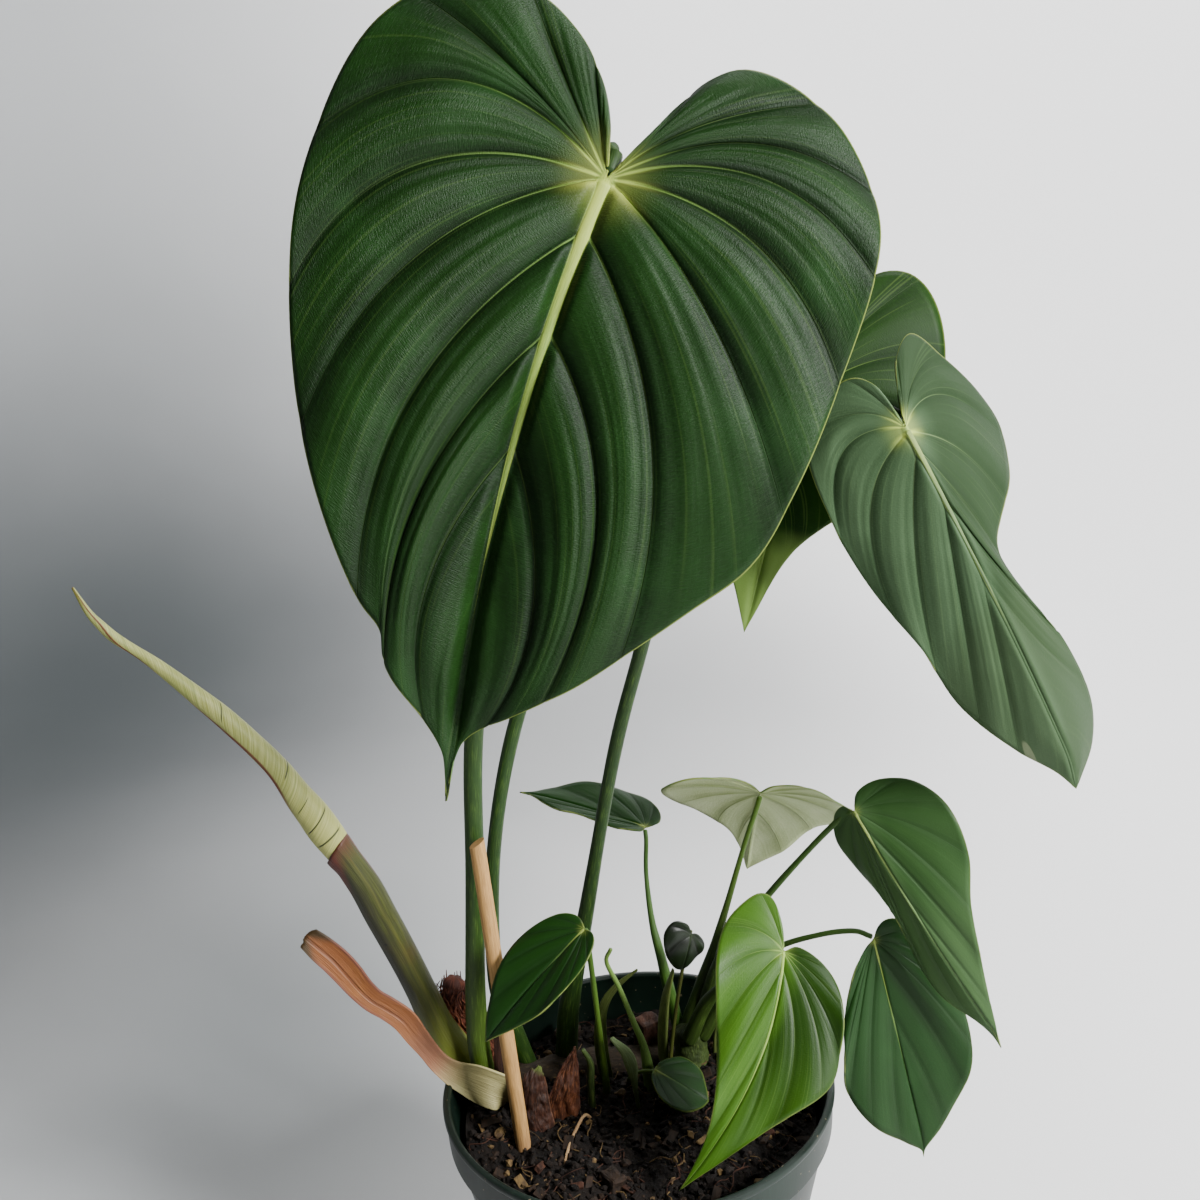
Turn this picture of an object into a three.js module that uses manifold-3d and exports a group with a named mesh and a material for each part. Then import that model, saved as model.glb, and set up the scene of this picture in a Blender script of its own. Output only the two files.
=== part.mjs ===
// A creeping philodendron in a nursery pot: three grown leaves on long stalks, a new leaf still
// rolled up, and a young plant at the foot. Millimetres, +Z up, with the origin at the centre of
// the pot's flat bottom. -Y is the front.

import * as THREE from "three";
import { mergeVertices } from "three/addons/utils/BufferGeometryUtils.js";
import Module from "manifold-3d";

const wasm = await Module();
wasm.setup();

// Driving dimensions
const potHeight = 125;
const rimRadius = 77.5;
const rimBand = 16;
const rimStep = 3.4;
const rimLip = 1.2;
const baseRadius = 50;
const wall = 1.6;
const floorThickness = 2;
const drainHoles = 6;
const drainHoleRadius = 5;
const drainRing = 36;
const soilDepthBelowRim = 18;
const stakeRadius = 3;
const gap = 0.35;
const bigBlade = 0.85;
const smallBlade = 0.7;

const soilTop = potHeight - soilDepthBelowRim;
const foot = soilTop - 14;

const plant = new THREE.Group();
plant.name = "potted_philodendron";

// Small helpers

function through(points, fraction) {
  const last = points.length - 1;
  const place = THREE.MathUtils.clamp(fraction, 0, 1) * last;
  const i = Math.min(Math.floor(place), last - 1);
  const x = place - i;
  const b = points[i];
  const c = points[i + 1];
  const a = points[i - 1] ?? b.map((value, k) => 2 * value - c[k]);
  const d = points[i + 2] ?? c.map((value, k) => 2 * value - b[k]);
  return b.map((value, k) => {
    const slope = c[k] - a[k];
    const bend = 2 * a[k] - 5 * value + 4 * c[k] - d[k];
    const twist = 3 * value - a[k] - 3 * c[k] + d[k];
    return value + 0.5 * (slope * x + bend * x * x + twist * x ** 3);
  });
}

function spread(points) {
  // The same curve, but with the fraction measured along its length.
  const steps = 160;
  const places = Array.from({ length: steps + 1 }, (unused, i) => through(points, i / steps));
  const lengths = [0];
  for (let i = 1; i <= steps; i += 1) {
    lengths.push(lengths[i - 1] + Math.hypot(...places[i].map((value, k) => value - places[i - 1][k])));
  }
  return (fraction) => {
    const target = THREE.MathUtils.clamp(fraction, 0, 1) * lengths[steps];
    const found = lengths.findIndex((value) => value >= target);
    const i = Math.max(found, 1);
    const part = (target - lengths[i - 1]) / (lengths[i] - lengths[i - 1]);
    return places[i].map((value, k) => places[i - 1][k] + (value - places[i - 1][k]) * part);
  };
}

function bare(geometry, closest = 1e-4) {
  geometry.deleteAttribute("normal");
  geometry.deleteAttribute("uv");
  return mergeVertices(geometry, closest);
}

function withoutSlivers(merged) {
  const kept = [];
  for (let i = 0; i < merged.index.count; i += 3) {
    const corners = [0, 1, 2].map((k) => merged.index.getX(i + k));
    if (new Set(corners).size === 3) {
      kept.push(...corners);
    }
  }
  merged.setIndex(kept);
  return merged;
}

function solid(geometry) {
  const merged = bare(geometry.clone());
  return new wasm.Manifold(
    new wasm.Mesh({
      numProp: 3,
      vertProperties: new Float32Array(merged.attributes.position.array),
      triVerts: new Uint32Array(merged.index.array),
    }),
  );
}

function surfaceOf(body) {
  const largest = body.decompose().sort((one, other) => other.volume() - one.volume())[0];
  const mesh = largest.getMesh();
  const geometry = new THREE.BufferGeometry();
  geometry.setAttribute("position", new THREE.BufferAttribute(mesh.vertProperties.slice(), 3));
  geometry.setIndex(new THREE.BufferAttribute(mesh.triVerts.slice(), 1));
  return geometry;
}

function add(name, geometry, look) {
  const mesh = new THREE.Mesh(geometry, new THREE.MeshStandardMaterial(look));
  mesh.name = name;
  mesh.material.name = name;
  plant.add(mesh);
  return mesh;
}

// Leaf blades. A blade lies flat in its own frame, with its stalk's end at the origin and its
// tip along +Y, and left and right are margins from the stalk round to the tip. Veins run from
// the midrib to the margin, and the blade swells up between them.

const sinusShare = 0.04;
const sinusBend = 0.3;
const fanEnd = 0.48;
const fanSweep = 3.6;
const veinBow = 0.56;
const veinLead = 0.42;
const ribHalfWidth = 2.5;

function marginsOf(leaf) {
  const tip = [0, leaf.length];
  return {
    left: spread([[0, 0], ...leaf.left, tip]),
    right: spread([[0, 0], ...leaf.right, tip]),
  };
}

function halfway(margin, share, from) {
  // The point that a vein passes half way, where it runs to that share of the margin. Beside the
  // sinus the veins are straight, and further on they set out towards an earlier point.
  const edge = margin(share);
  const lead = veinLead * THREE.MathUtils.smoothstep(share, 0, sinusBend);
  const earlier = margin(share - lead * share * (1 - share));
  return [0, from].map((start, k) => {
    const control = start + (earlier[k] - start) * veinBow;
    return 0.25 * start + 0.5 * control + 0.25 * edge[k];
  });
}

function veinsOf(leaf, margins) {
  // From the sinus to the tip: where a pair of veins leaves the midrib and, for each side, the
  // share of the margin where the vein ends and how far it is off its usual course half way.
  if (!Array.isArray(leaf.veins)) {
    return Array.from({ length: leaf.veins + 1 }, (unused, i) => {
      const share = sinusShare + ((1 - sinusShare) * i) / leaf.veins;
      const from = leaf.length * Math.max((share - fanEnd) / (1 - fanEnd), 0) ** fanSweep;
      return [from, share, 0, 0, share, 0, 0];
    });
  }
  const measured = leaf.veins.map(({ from, ...sides }) => {
    const courses = ["left", "right"].flatMap((side) => {
      const [share, ...passed] = sides[side];
      const usual = halfway(margins[side], share, from);
      return [share, passed[0] - usual[0], passed[1] - usual[1]];
    });
    return [from, ...courses];
  });
  return [[0, sinusShare, 0, 0, sinusShare, 0, 0], ...measured, [leaf.length, 1, 0, 0, 1, 0, 0]];
}

function flatBlade(leaf) {
  const margins = marginsOf(leaf);
  const veins = veinsOf(leaf, margins);
  return (across, along) => {
    const [from, ...sides] = through(veins, along);
    const [share, ...off] = across < 0 ? sides.slice(0, 3) : sides.slice(3);
    const margin = across < 0 ? margins.left : margins.right;
    const edge = margin(share);
    const start = [0, Math.max(from, 0)];
    const passed = halfway(margin, share, start[1]);
    const t = Math.abs(across);
    const bays = veins.length - 1;
    const fromEnds = Math.min(along * bays, (1 - along) * bays, 1);
    return start.map((value, k) => {
      const bow = passed[k] + off[k] * fromEnds - (value + edge[k]) / 2;
      return value + (edge[k] - value) * t + 4 * bow * t * (1 - t);
    });
  };
}

function baysOf(leaf) {
  return Array.isArray(leaf.veins) ? leaf.veins.length + 1 : leaf.veins;
}

function swelling(leaf, across, along, flat) {
  // A bay swells in proportion to its width, and lies flat where the veins run together.
  const t = Math.abs(across);
  const bays = baysOf(leaf);
  const bay = Math.min(Math.floor(along * bays + 1e-9), bays - 1);
  const [from, to] = [bay, bay + 1].map((vein) => flat(across, vein / bays));
  const width = Math.hypot(to[0] - from[0], to[1] - from[1]);
  const place = along * bays - bay;
  const room = THREE.MathUtils.smoothstep(width, 2 * leaf.thickness, 10 * leaf.thickness);
  const pleat = 4 * place * (1 - place) * room * Math.min(width * leaf.pleat, leaf.deepest);
  const towardEdge = THREE.MathUtils.smoothstep(1 - t, -0.25, 0.5);
  const wave = Math.sin(along * leaf.waves * 2 * Math.PI + (across < 0 ? 0 : 2)) * t ** 4;
  return pleat * towardEdge + leaf.wave * wave * Math.sin(Math.PI * along);
}

function arc(length, curvature) {
  if (Math.abs(curvature) < 1e-6) {
    return [length, 0];
  }
  const turn = length * curvature;
  return [Math.sin(turn) / curvature, (1 - Math.cos(turn)) / curvature];
}

function perMillimetre(degreesPerHundred) {
  return THREE.MathUtils.degToRad(degreesPerHundred) / 100;
}

function bent(leaf, across, along, flat) {
  const [u, v] = flat(across, along);
  const side = Math.sign(u) || 1;
  const fold = THREE.MathUtils.degToRad(u < 0 ? leaf.foldLeft : leaf.foldRight);
  const bow = -perMillimetre(leaf.bow);
  const slope = fold + bow * Math.abs(u);
  const sideways = (side * (Math.sin(slope) - Math.sin(fold))) / bow;
  const raised = -(Math.cos(slope) - Math.cos(fold)) / bow + swelling(leaf, across, along, flat);
  const curl = perMillimetre(v < 0 ? leaf.lobeCurl : leaf.curl);
  const reach = Math.abs(v);
  const [forward, fallen] = arc(reach, curl);
  const turn = Math.sign(v) * reach * curl;
  const sway = v > 0 ? leaf.sway * (v / 100) ** 2 : 0;
  return new THREE.Vector3(
    sideways + sway,
    Math.sign(v) * forward + raised * Math.sin(turn),
    -fallen + raised * Math.cos(turn),
  );
}

function bladeSheet(leaf) {
  // Both halves in one grid. The first columns beside the midrib are narrow, to carry its rib.
  const columns = leaf.columns;
  const rows = leaf.rows * baysOf(leaf);
  const sheet = new THREE.PlaneGeometry(2, 1, columns * 2, rows);
  const flat = flatBlade(leaf);
  const { position } = sheet.attributes;
  const ribs = new Float32Array(position.count);
  for (let i = 0; i < position.count; i += 1) {
    const column = Math.round(position.getX(i) * columns);
    const near = Math.abs(column);
    const level = near === 0 ? 0 : 0.05 + (0.95 * (near - 1)) / (columns - 1);
    const across = Math.sign(column) * level;
    const along = THREE.MathUtils.clamp(0.5 - position.getY(i), 0, 1);
    const place = bent(leaf, across, along, flat);
    position.setXYZ(i, place.x, place.y, place.z);
    const [u, v] = flat(across, along);
    const fromRib = Math.hypot(u, Math.min(v, 0));
    ribs[i] = leaf.rib * (1 - Math.max(v, 0) / leaf.length) * Math.max(1 - fromRib / ribHalfWidth, 0);
  }
  sheet.setAttribute("rib", new THREE.BufferAttribute(ribs, 1));
  const merged = withoutSlivers(bare(sheet, 0.06));
  merged.computeVertexNormals();
  return merged;
}

function thickened(sheet, thickness) {
  // Two faces split alike into triangles, and a rim from the edges that only one triangle has.
  const { position, normal, rib } = sheet.attributes;
  const count = position.count;
  const places = new Float32Array(count * 6);
  for (let i = 0; i < count; i += 1) {
    const middle = new THREE.Vector3().fromBufferAttribute(position, i);
    const up = new THREE.Vector3().fromBufferAttribute(normal, i);
    const ridge = rib ? rib.getX(i) : 0;
    middle.clone().addScaledVector(up, thickness / 2 + ridge * 0.3).toArray(places, i * 3);
    middle.addScaledVector(up, -thickness / 2 - ridge * 0.7).toArray(places, (count + i) * 3);
  }
  const triangles = [];
  const edges = new Map();
  for (let i = 0; i < sheet.index.count; i += 3) {
    const [a, b, c] = [0, 1, 2].map((k) => sheet.index.getX(i + k));
    triangles.push(a, b, c, count + c, count + b, count + a);
    for (const [from, to] of [[a, b], [b, c], [c, a]]) {
      if (!edges.delete(`${to},${from}`)) {
        edges.set(`${from},${to}`, [from, to]);
      }
    }
  }
  for (const [from, to] of edges.values()) {
    triangles.push(to, from, count + from, to, count + from, count + to);
  }
  const geometry = new THREE.BufferGeometry();
  geometry.setAttribute("position", new THREE.BufferAttribute(places, 3));
  geometry.setIndex(triangles);
  return geometry;
}

function turned(leaf) {
  const along = new THREE.Vector3(...leaf.toward).normalize();
  const up = new THREE.Vector3(...leaf.facing);
  up.addScaledVector(along, -up.dot(along)).normalize();
  const across = new THREE.Vector3().crossVectors(along, up);
  return new THREE.Matrix4().makeBasis(across, along, up).setPosition(...leaf.at);
}

function blade(name, leaf, look) {
  const sheet = bladeSheet(leaf);
  const mesh = add(name, thickened(sheet, leaf.thickness), { side: THREE.DoubleSide, ...look });
  turned(leaf).decompose(mesh.position, mesh.quaternion, mesh.scale);
  mesh.updateMatrix();
  const grown = thickened(sheet, leaf.thickness + 2 * gap).applyMatrix4(mesh.matrix);
  return solid(grown);
}

// Stalks. A stalk is a round or flattened bar along a path, with its radii at even stations.

function stalk({ path, radii, sides = 8, steps = 8, flat = 1, facing = [0, -1, 0], lap = 0 }, grow = 0) {
  const bar = new THREE.CylinderGeometry(1, 1, 1, sides, steps);
  const { position } = bar.attributes;
  const curve = spread(path);
  const widths = radii.map((value) => [value]);
  const step = 1e-3;
  for (let i = 0; i < position.count; i += 1) {
    const along = position.getY(i) + 0.5;
    const middle = new THREE.Vector3(...curve(along));
    const from = new THREE.Vector3(...curve(Math.max(along - step, 0)));
    const tangent = new THREE.Vector3(...curve(Math.min(along + step, 1))).sub(from).normalize();
    const front = new THREE.Vector3(...facing);
    front.addScaledVector(tangent, -front.dot(tangent)).normalize();
    const across = new THREE.Vector3().crossVectors(tangent, front);
    const end = along < 0.001 ? -grow : along > 0.999 ? grow : 0;
    const x = position.getX(i);
    const z = position.getZ(i);
    const turn = (Math.atan2(z, x) / (2 * Math.PI) + 1) % 1;
    const radius = through(widths, along)[0] * (1 + lap * turn) + grow;
    middle.addScaledVector(tangent, end);
    middle.addScaledVector(across, x * radius);
    middle.addScaledVector(front, z * (radius * flat + grow * (1 - flat)));
    position.setXYZ(i, ...middle.toArray());
  }
  return bar;
}

// Pot: a thin shell with a band below the rim and drain holes in its floor

const bandFoot = potHeight - rimBand;

function potRadius(height) {
  return THREE.MathUtils.mapLinear(height, 0, bandFoot, baseRadius, rimRadius - rimStep);
}

function makePot() {
  const mouth = rimRadius - wall - rimLip;
  const outside = [
    [0, 0],
    [baseRadius - 2, 0],
    [potRadius(0), 2],
    [potRadius(bandFoot), bandFoot],
    [rimRadius - 1.4, bandFoot + 0.6],
    [rimRadius - 0.8, potHeight - 3],
    [rimRadius, potHeight - 2.2],
    [rimRadius, potHeight - 0.5],
    [rimRadius - 0.5, potHeight],
    [mouth, potHeight],
    [mouth - 0.4, potHeight - 0.6],
    [mouth, potHeight - 3.5],
    [potRadius(bandFoot) - wall, bandFoot - 2],
    [potRadius(floorThickness) - wall, floorThickness + 1.5],
    [potRadius(floorThickness) - wall - 2, floorThickness],
    [0, floorThickness],
  ];
  const shell = new THREE.LatheGeometry(outside.map(([x, y]) => new THREE.Vector2(x, y)), 40);
  shell.rotateX(Math.PI / 2);
  let pot = solid(withoutSlivers(bare(shell)));
  for (let i = 0; i < drainHoles; i += 1) {
    const turn = (i / drainHoles) * 2 * Math.PI;
    const hole = new THREE.CylinderGeometry(drainHoleRadius, drainHoleRadius, 6 * floorThickness, 12);
    hole.rotateX(Math.PI / 2);
    hole.translate(Math.cos(turn) * drainRing, Math.sin(turn) * drainRing, 0);
    pot = pot.subtract(solid(hole));
  }
  add("pot", surfaceOf(pot), { color: 0x26322a, roughness: 0.45 });
}

// Soil: it fills the pot up to an uneven top, with bark lumps standing in it

function soilHeight(x, y) {
  const mounds = 1.6 * Math.sin(x * 0.09 + 1) * Math.cos(y * 0.08) + 0.9 * Math.sin(x * 0.23 - y * 0.19);
  const heapAtLeft = 5 * Math.exp(-((x + 52) ** 2 + (y - 12) ** 2) / 500);
  return soilTop + mounds + heapAtLeft;
}

const barkLumps = [
  { at: [-8, -40], size: [15, 8, 7], turn: 20, lean: 12 },
  { at: [30, -30], size: [12, 7, 6], turn: -35, lean: -15 },
  { at: [52, 6], size: [14, 9, 6], turn: 70, lean: 10 },
  { at: [12, 58], size: [16, 8, 7], turn: 5, lean: -12 },
  { at: [-24, 53], size: [12, 8, 6], turn: 40, lean: 14 },
  { at: [-2, 4], size: [13, 6, 6], turn: 60, lean: -18 },
  { at: [-30, -52], size: [12, 7, 5], turn: -20, lean: 10 },
  { at: [44, 42], size: [13, 8, 6], turn: -60, lean: 12 },
  { at: [10, 38], size: [9, 6, 18], turn: 15, lean: 8 },
  { at: [-58, -22], size: [11, 7, 6], turn: 80, lean: -8 },
  { at: [6, -58], size: [10, 7, 5], turn: -50, lean: -10 },
];

function makeSoil(stems) {
  const floor = floorThickness + gap;
  const topRadius = potRadius(soilTop) - wall - 2;
  const profile = [[0, floor], [potRadius(floor) - wall - 3, floor], [topRadius, soilTop - 3]];
  for (const part of [1, 0.84, 0.66, 0.46, 0.24, 0]) {
    profile.push([(topRadius - 0.6) * part, soilTop]);
  }
  const mass = new THREE.LatheGeometry(profile.map(([x, y]) => new THREE.Vector2(x, y)), 32);
  mass.rotateX(Math.PI / 2);
  const { position } = mass.attributes;
  for (let i = 0; i < position.count; i += 1) {
    if (position.getZ(i) > soilTop - 1) {
      position.setZ(i, soilHeight(position.getX(i), position.getY(i)));
    }
  }
  let soil = solid(withoutSlivers(bare(mass)));
  for (const { at, size, turn, lean } of barkLumps) {
    const lump = new THREE.BoxGeometry(...size);
    lump.rotateX(THREE.MathUtils.degToRad(lean));
    lump.rotateZ(THREE.MathUtils.degToRad(turn));
    lump.translate(at[0], at[1], soilHeight(...at) + size[2] * 0.1);
    soil = soil.add(solid(lump));
  }
  for (const stem of stems) {
    soil = soil.subtract(stem);
  }
  add("soil", surfaceOf(soil), { color: 0x2a2019, roughness: 0.95 });
}

// Colours

const darkLeaf = { color: 0x2f5a34, roughness: 0.42 };
const dullLeaf = { color: 0x476a48, roughness: 0.5 };
const brightLeaf = { color: 0x4f8a35, roughness: 0.35 };
const paleLeaf = { color: 0x8fae6a, roughness: 0.5 };
const stalkGreen = { color: 0x56733a, roughness: 0.45 };
const youngGreen = { color: 0x6f9440, roughness: 0.45 };
const oliveGreen = { color: 0x7d8446, roughness: 0.5 };
const driedBrown = { color: 0x6b4a2e, roughness: 0.85 };

// The leaves' outlines, in millimetres across and along from the stalk's end

const leafA = {
  at: [10, -12, 464], toward: [-0.46, -0.23, -0.86], facing: [0.05, -0.97, 0.24],
  length: 213, sway: -7, foldLeft: 8, foldRight: 8, bow: 14, curl: 8, lobeCurl: 25,
  veins: [
    { from: 0, left: [0.1, -9.8, -21.5], right: [0.1, 12, -20] },
    { from: 0, left: [0.213, -22, -28], right: [0.183, 25, -23] },
    { from: 0, left: [0.298, -37, -28], right: [0.283, 40, -18] },
    { from: 0, left: [0.37, -46, -19], right: [0.429, 54, -8] },
    { from: 0, left: [0.459, -52, 1], right: [0.559, 56, 21] },
    { from: 0, left: [0.574, -50, 30], right: [0.669, 46, 46] },
    { from: 18, left: [0.767, -44, 73], right: [0.81, 35, 86] },
    { from: 52, left: [0.85, -33, 100], right: [0.87, 25, 114] },
    { from: 90, left: [0.915, -20, 136], right: [0.925, 17, 143] },
  ],
  rows: 3, columns: 9, pleat: 0.14, deepest: 4.2, waves: 5, wave: 2, rib: 1.6, thickness: bigBlade,
  left: [
    [-5, -12], [-8.5, -21], [-12, -31], [-18, -43], [-28, -51], [-45, -51], [-65, -44], [-83, -28],
    [-92, -4], [-95, 30], [-93, 66], [-87, 94], [-71, 117], [-46, 148], [-20, 174], [-3, 192],
  ],
  right: [
    [6, -16], [15, -29], [27, -39], [44, -45], [64, -41], [82, -24], [90, 0], [89, 40], [81, 78],
    [66, 115], [42, 153], [30, 164], [26, 175], [12, 188], [3, 198],
  ],
};

const leafB = {
  at: [103, -22, 379], toward: [0.42, -0.2, -0.88], facing: [0.14, -0.95, 0.28],
  length: 151, sway: -4, foldLeft: -30, foldRight: -28, bow: 20, curl: 18, lobeCurl: 25,
  veins: [
    { from: 0, left: [0.1, -7, -11], right: [0.12, 3.5, -13] },
    { from: 0, left: [0.216, -19, -14], right: [0.23, 12, -12] },
    { from: 0, left: [0.386, -30, -3], right: [0.414, 23, -2] },
    { from: 2, left: [0.5, -22, 17], right: [0.564, 23, 20] },
    { from: 8, left: [0.59, -9, 32], right: [0.68, 17, 42] },
    { from: 26, left: [0.74, -10, 60], right: [0.8, 12, 68] },
    { from: 54, left: [0.84, -12, 90], right: [0.88, 9, 98] },
  ],
  rows: 3, columns: 6, pleat: 0.11, deepest: 2.6, waves: 4, wave: 1.5, rib: 0.9, thickness: bigBlade,
  left: [
    [-6, -12], [-16, -23], [-31, -29], [-42, -16], [-55, 3], [-59, 20], [-46, 35], [-25, 46],
    [-15, 56], [-18, 76], [-27, 100], [-30, 126], [-20, 144], [-6, 149],
  ],
  right: [
    [1, -9], [3, -19], [10, -24], [24, -20], [34, -6], [37, 20], [35, 46], [30, 76], [26, 104],
    [16, 127], [5, 142],
  ],
};

const leafC = {
  at: [77, 28, 385], toward: [-0.3, -0.3, -0.9], facing: [0.08, -0.95, 0.29],
  length: 88, sway: 0, foldLeft: 5, foldRight: 5, bow: 15, curl: 5, lobeCurl: 20,
  veins: 7, rows: 2, columns: 5, pleat: 0.1, deepest: 2, waves: 3, wave: 1.5, rib: 0.8, thickness: bigBlade,
  left: [
    [-4, -22], [-10, -44], [-20, -56], [-33, -57], [-44, -45], [-51, -24], [-51, 4], [-40, 25],
    [-20, 43], [-8, 60],
  ],
  right: [[3, -18], [9, -38], [21, -49], [36, -44], [47, -22], [47, 6], [34, 34], [18, 56], [8, 72]],
};

const leafD = {
  at: [-16, -10, 197], toward: [-0.76, -0.26, -0.59], facing: [-0.29, -0.68, 0.68],
  length: 57, sway: -1, foldLeft: 12, foldRight: 12, bow: 20, curl: 30, lobeCurl: 10,
  veins: 5, rows: 2, columns: 4, pleat: 0.08, deepest: 0.9, waves: 2, wave: 0.8, rib: 0.3, thickness: smallBlade,
  left: [[-5, -1], [-9, 3], [-12, 14], [-12, 29], [-7, 43]],
  right: [[6, -1], [12, 5], [16, 19], [14, 33], [7, 48]],
};

const leafE = {
  at: [11, 62, 203], toward: [-0.82, 0.5, 0.16], facing: [0.1, -0.16, 1],
  length: 62, sway: -12, foldLeft: 10, foldRight: 10, bow: 20, curl: 4, lobeCurl: 10,
  veins: 5, rows: 2, columns: 4, pleat: 0.08, deepest: 0.9, waves: 2, wave: 1, rib: 0.3, thickness: smallBlade,
  left: [[-5, 0], [-8, 8], [-9, 20], [-9, 34], [-6, 49]],
  right: [[6, -4], [13, 1], [18, 12], [18, 27], [16, 40], [9, 53]],
};

const leafF = {
  at: [59, 45, 223], toward: [-0.04, 0.67, -0.74], facing: [0, 0.74, 0.67],
  length: 66, sway: 0, foldLeft: 5, foldRight: 5, bow: 15, curl: 20, lobeCurl: 10,
  veins: 6, rows: 2, columns: 5, pleat: 0.09, deepest: 1.2, waves: 2, wave: 1.2, rib: 0.4, thickness: smallBlade,
  left: [[-6, -8], [-16, -14], [-31, -15], [-41, -5], [-37, 7], [-24, 18], [-13, 29], [-6, 44]],
  right: [[5, -4], [17, 0], [31, 11], [42, 25], [38, 36], [27, 40], [17, 53], [6, 62]],
};

const leafG = {
  at: [91, 12, 227], toward: [0.4, -0.48, -0.78], facing: [-0.24, -0.88, 0.41],
  length: 110, sway: -3, foldLeft: -6, foldRight: -48, bow: 25, curl: 30, lobeCurl: 15,
  veins: 7, rows: 2, columns: 5, pleat: 0.1, deepest: 1.4, waves: 3, wave: 1.2, rib: 0.5, thickness: smallBlade,
  left: [[-5, -6], [-15, -6], [-26, 1], [-32, 15], [-29, 34], [-19, 52], [-11, 73], [-5, 92]],
  right: [[4, -4], [12, -2], [18, 7], [16, 20], [12, 34], [12, 50], [15, 68], [16, 84], [6, 98]],
};

const leafH = {
  at: [58, -14, 184], toward: [-0.17, -0.61, -0.77], facing: [0.01, -0.78, 0.62],
  length: 87, sway: 42, foldLeft: 6, foldRight: 6, bow: 15, curl: 20, lobeCurl: 20,
  veins: 7, rows: 2, columns: 6, pleat: 0.1, deepest: 1.4, waves: 3, wave: 1.2, rib: 0.5, thickness: smallBlade,
  left: [[-6, -2], [-16, 4], [-23, 15], [-27, 32], [-28, 46], [-18, 58], [-9, 71]],
  right: [[1, -9], [5, -19], [12, -20], [22, -9], [25, 6], [21, 25], [13, 46], [6, 66]],
};

const leafI = {
  at: [97, 9, 173], toward: [0.17, -0.26, -0.95], facing: [0.15, -0.95, 0.28],
  length: 93, sway: -3, foldLeft: 10, foldRight: 10, bow: 20, curl: 12, lobeCurl: 15,
  veins: 7, rows: 2, columns: 5, pleat: 0.09, deepest: 1.2, waves: 3, wave: 1.2, rib: 0.4, thickness: smallBlade,
  left: [[-5, -6], [-12, -5], [-20, 6], [-27, 24], [-29, 44], [-24, 62], [-13, 77]],
  right: [[5, 3], [12, 10], [19, 24], [25, 42], [26, 55], [20, 70], [9, 83]],
};

const leafJ = {
  at: [7, 8, 121.5], toward: [0.83, -0.25, -0.44], facing: [0.39, -0.37, 0.84],
  length: 25, sway: 0, foldLeft: 5, foldRight: 5, bow: 10, curl: 20, lobeCurl: 5,
  veins: 4, rows: 2, columns: 3, pleat: 0.07, deepest: 0.4, waves: 1, wave: 0.4, rib: 0.2, thickness: smallBlade,
  left: [[-6, 2], [-12, 9], [-11, 17], [-5, 22]],
  right: [[6, 1], [12, 8], [11, 17], [5, 23]],
};

const leafK = {
  at: [26, 26, 171], toward: [-0.25, -0.3, -0.9], facing: [0.1, -0.9, 0.3],
  length: 17, sway: 0, foldLeft: -5, foldRight: 10, bow: 60, curl: 60, lobeCurl: 40,
  veins: 3, rows: 2, columns: 3, pleat: 0.1, deepest: 0.8, waves: 2, wave: 1.2, rib: 0.2, thickness: smallBlade,
  left: [[-4, 0], [-9, 5], [-8, 11], [-3, 15]],
  right: [[3, -4], [9, -4], [12, 2], [9, 9], [4, 15]],
};

// The stalks' paths, from the foot up

const rhizome = {
  path: [[26, 42, 101], [-8, 37, 104], [-36, 30, 106], [-59, 21, 110]],
  radii: [6, 8, 8.5, 7], sides: 12, steps: 7, facing: [0, 0, 1],
};
const stake = {
  path: [[-43, -21, 62], [-46.4, -14, 108], [-55, 4, 231]],
  radii: [stakeRadius, stakeRadius], sides: 10, steps: 3,
};
const stemStub = {
  path: [[-55, 31, 106], [-58.5, 32.5, 122], [-66, 35, 137], [-72, 37, 152]],
  radii: [3.2, 3.5, 5, 4.6], sides: 12, steps: 6,
};
const stalkA = {
  path: [
    [-58, 14, 104], [-63, 14, 126], [-63, 15, 155], [-58, 13, 210], [-53, 9, 267], [-42, 4, 324],
    [-25, 3, 384], [-7, 4, 440], [6, 2, 469], [13, -4, 473], [11, -9.4, 466.4],
  ],
  radii: [4.6, 4.4, 3.9, 3.7, 3.6, 3.4, 3.2, 3, 2.9, 2.9, 3], sides: 10, steps: 16,
};
const stalkB = {
  path: [
    [-31, 38, 104], [-29, 36, 118], [-26, 34, 140], [-17, 30, 179], [-1, 22, 251], [11, 15, 293],
    [24, 6, 334], [42, -2, 368], [67, -6, 386], [90, -9, 388], [102, -17, 382],
  ],
  radii: [4.6, 4.4, 3.4, 2.8, 2.7, 2.7, 2.7, 2.6, 2.5, 2.4, 2.4], sides: 10, steps: 18,
};
const stalkC = {
  path: [
    [-44, 33, 104], [-50, 33, 126], [-56, 31, 155], [-52, 32, 210], [-39, 36, 263],
    [-18, 40, 308], [17, 44, 357], [50, 44, 390], [70, 40, 398], [79, 32, 387],
  ],
  radii: [4, 3.6, 3, 2.9, 2.9, 2.8, 2.7, 2.5, 2.4, 2.3], sides: 10, steps: 14,
};
const stalkD = {
  path: [
    [-13, 14, foot], [-13, 12, 116], [-14, 7, 145], [-15, 0, 176], [-15.6, -7, 191], [-15.7, -9.1, 195.9],
  ],
  radii: [1.6, 1.5, 1.2, 1.1, 1.1, 1.1],
};
const stalkE = {
  path: [[19, 40, 120.5], [14, 43, 150], [11, 48, 166], [10, 56, 184], [11, 60, 197.5], [10.9, 62, 201.5]],
  radii: [1.5, 1.6, 1.3, 1.1, 1, 1],
};
const stalkF = {
  path: [[23, 38, 120.5], [34, 39, 150], [43, 41, 176], [51, 43, 200], [57, 43, 217], [58.6, 43.6, 221.4]],
  radii: [1.5, 1.5, 1.3, 1.2, 1.1, 1.1],
};
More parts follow.
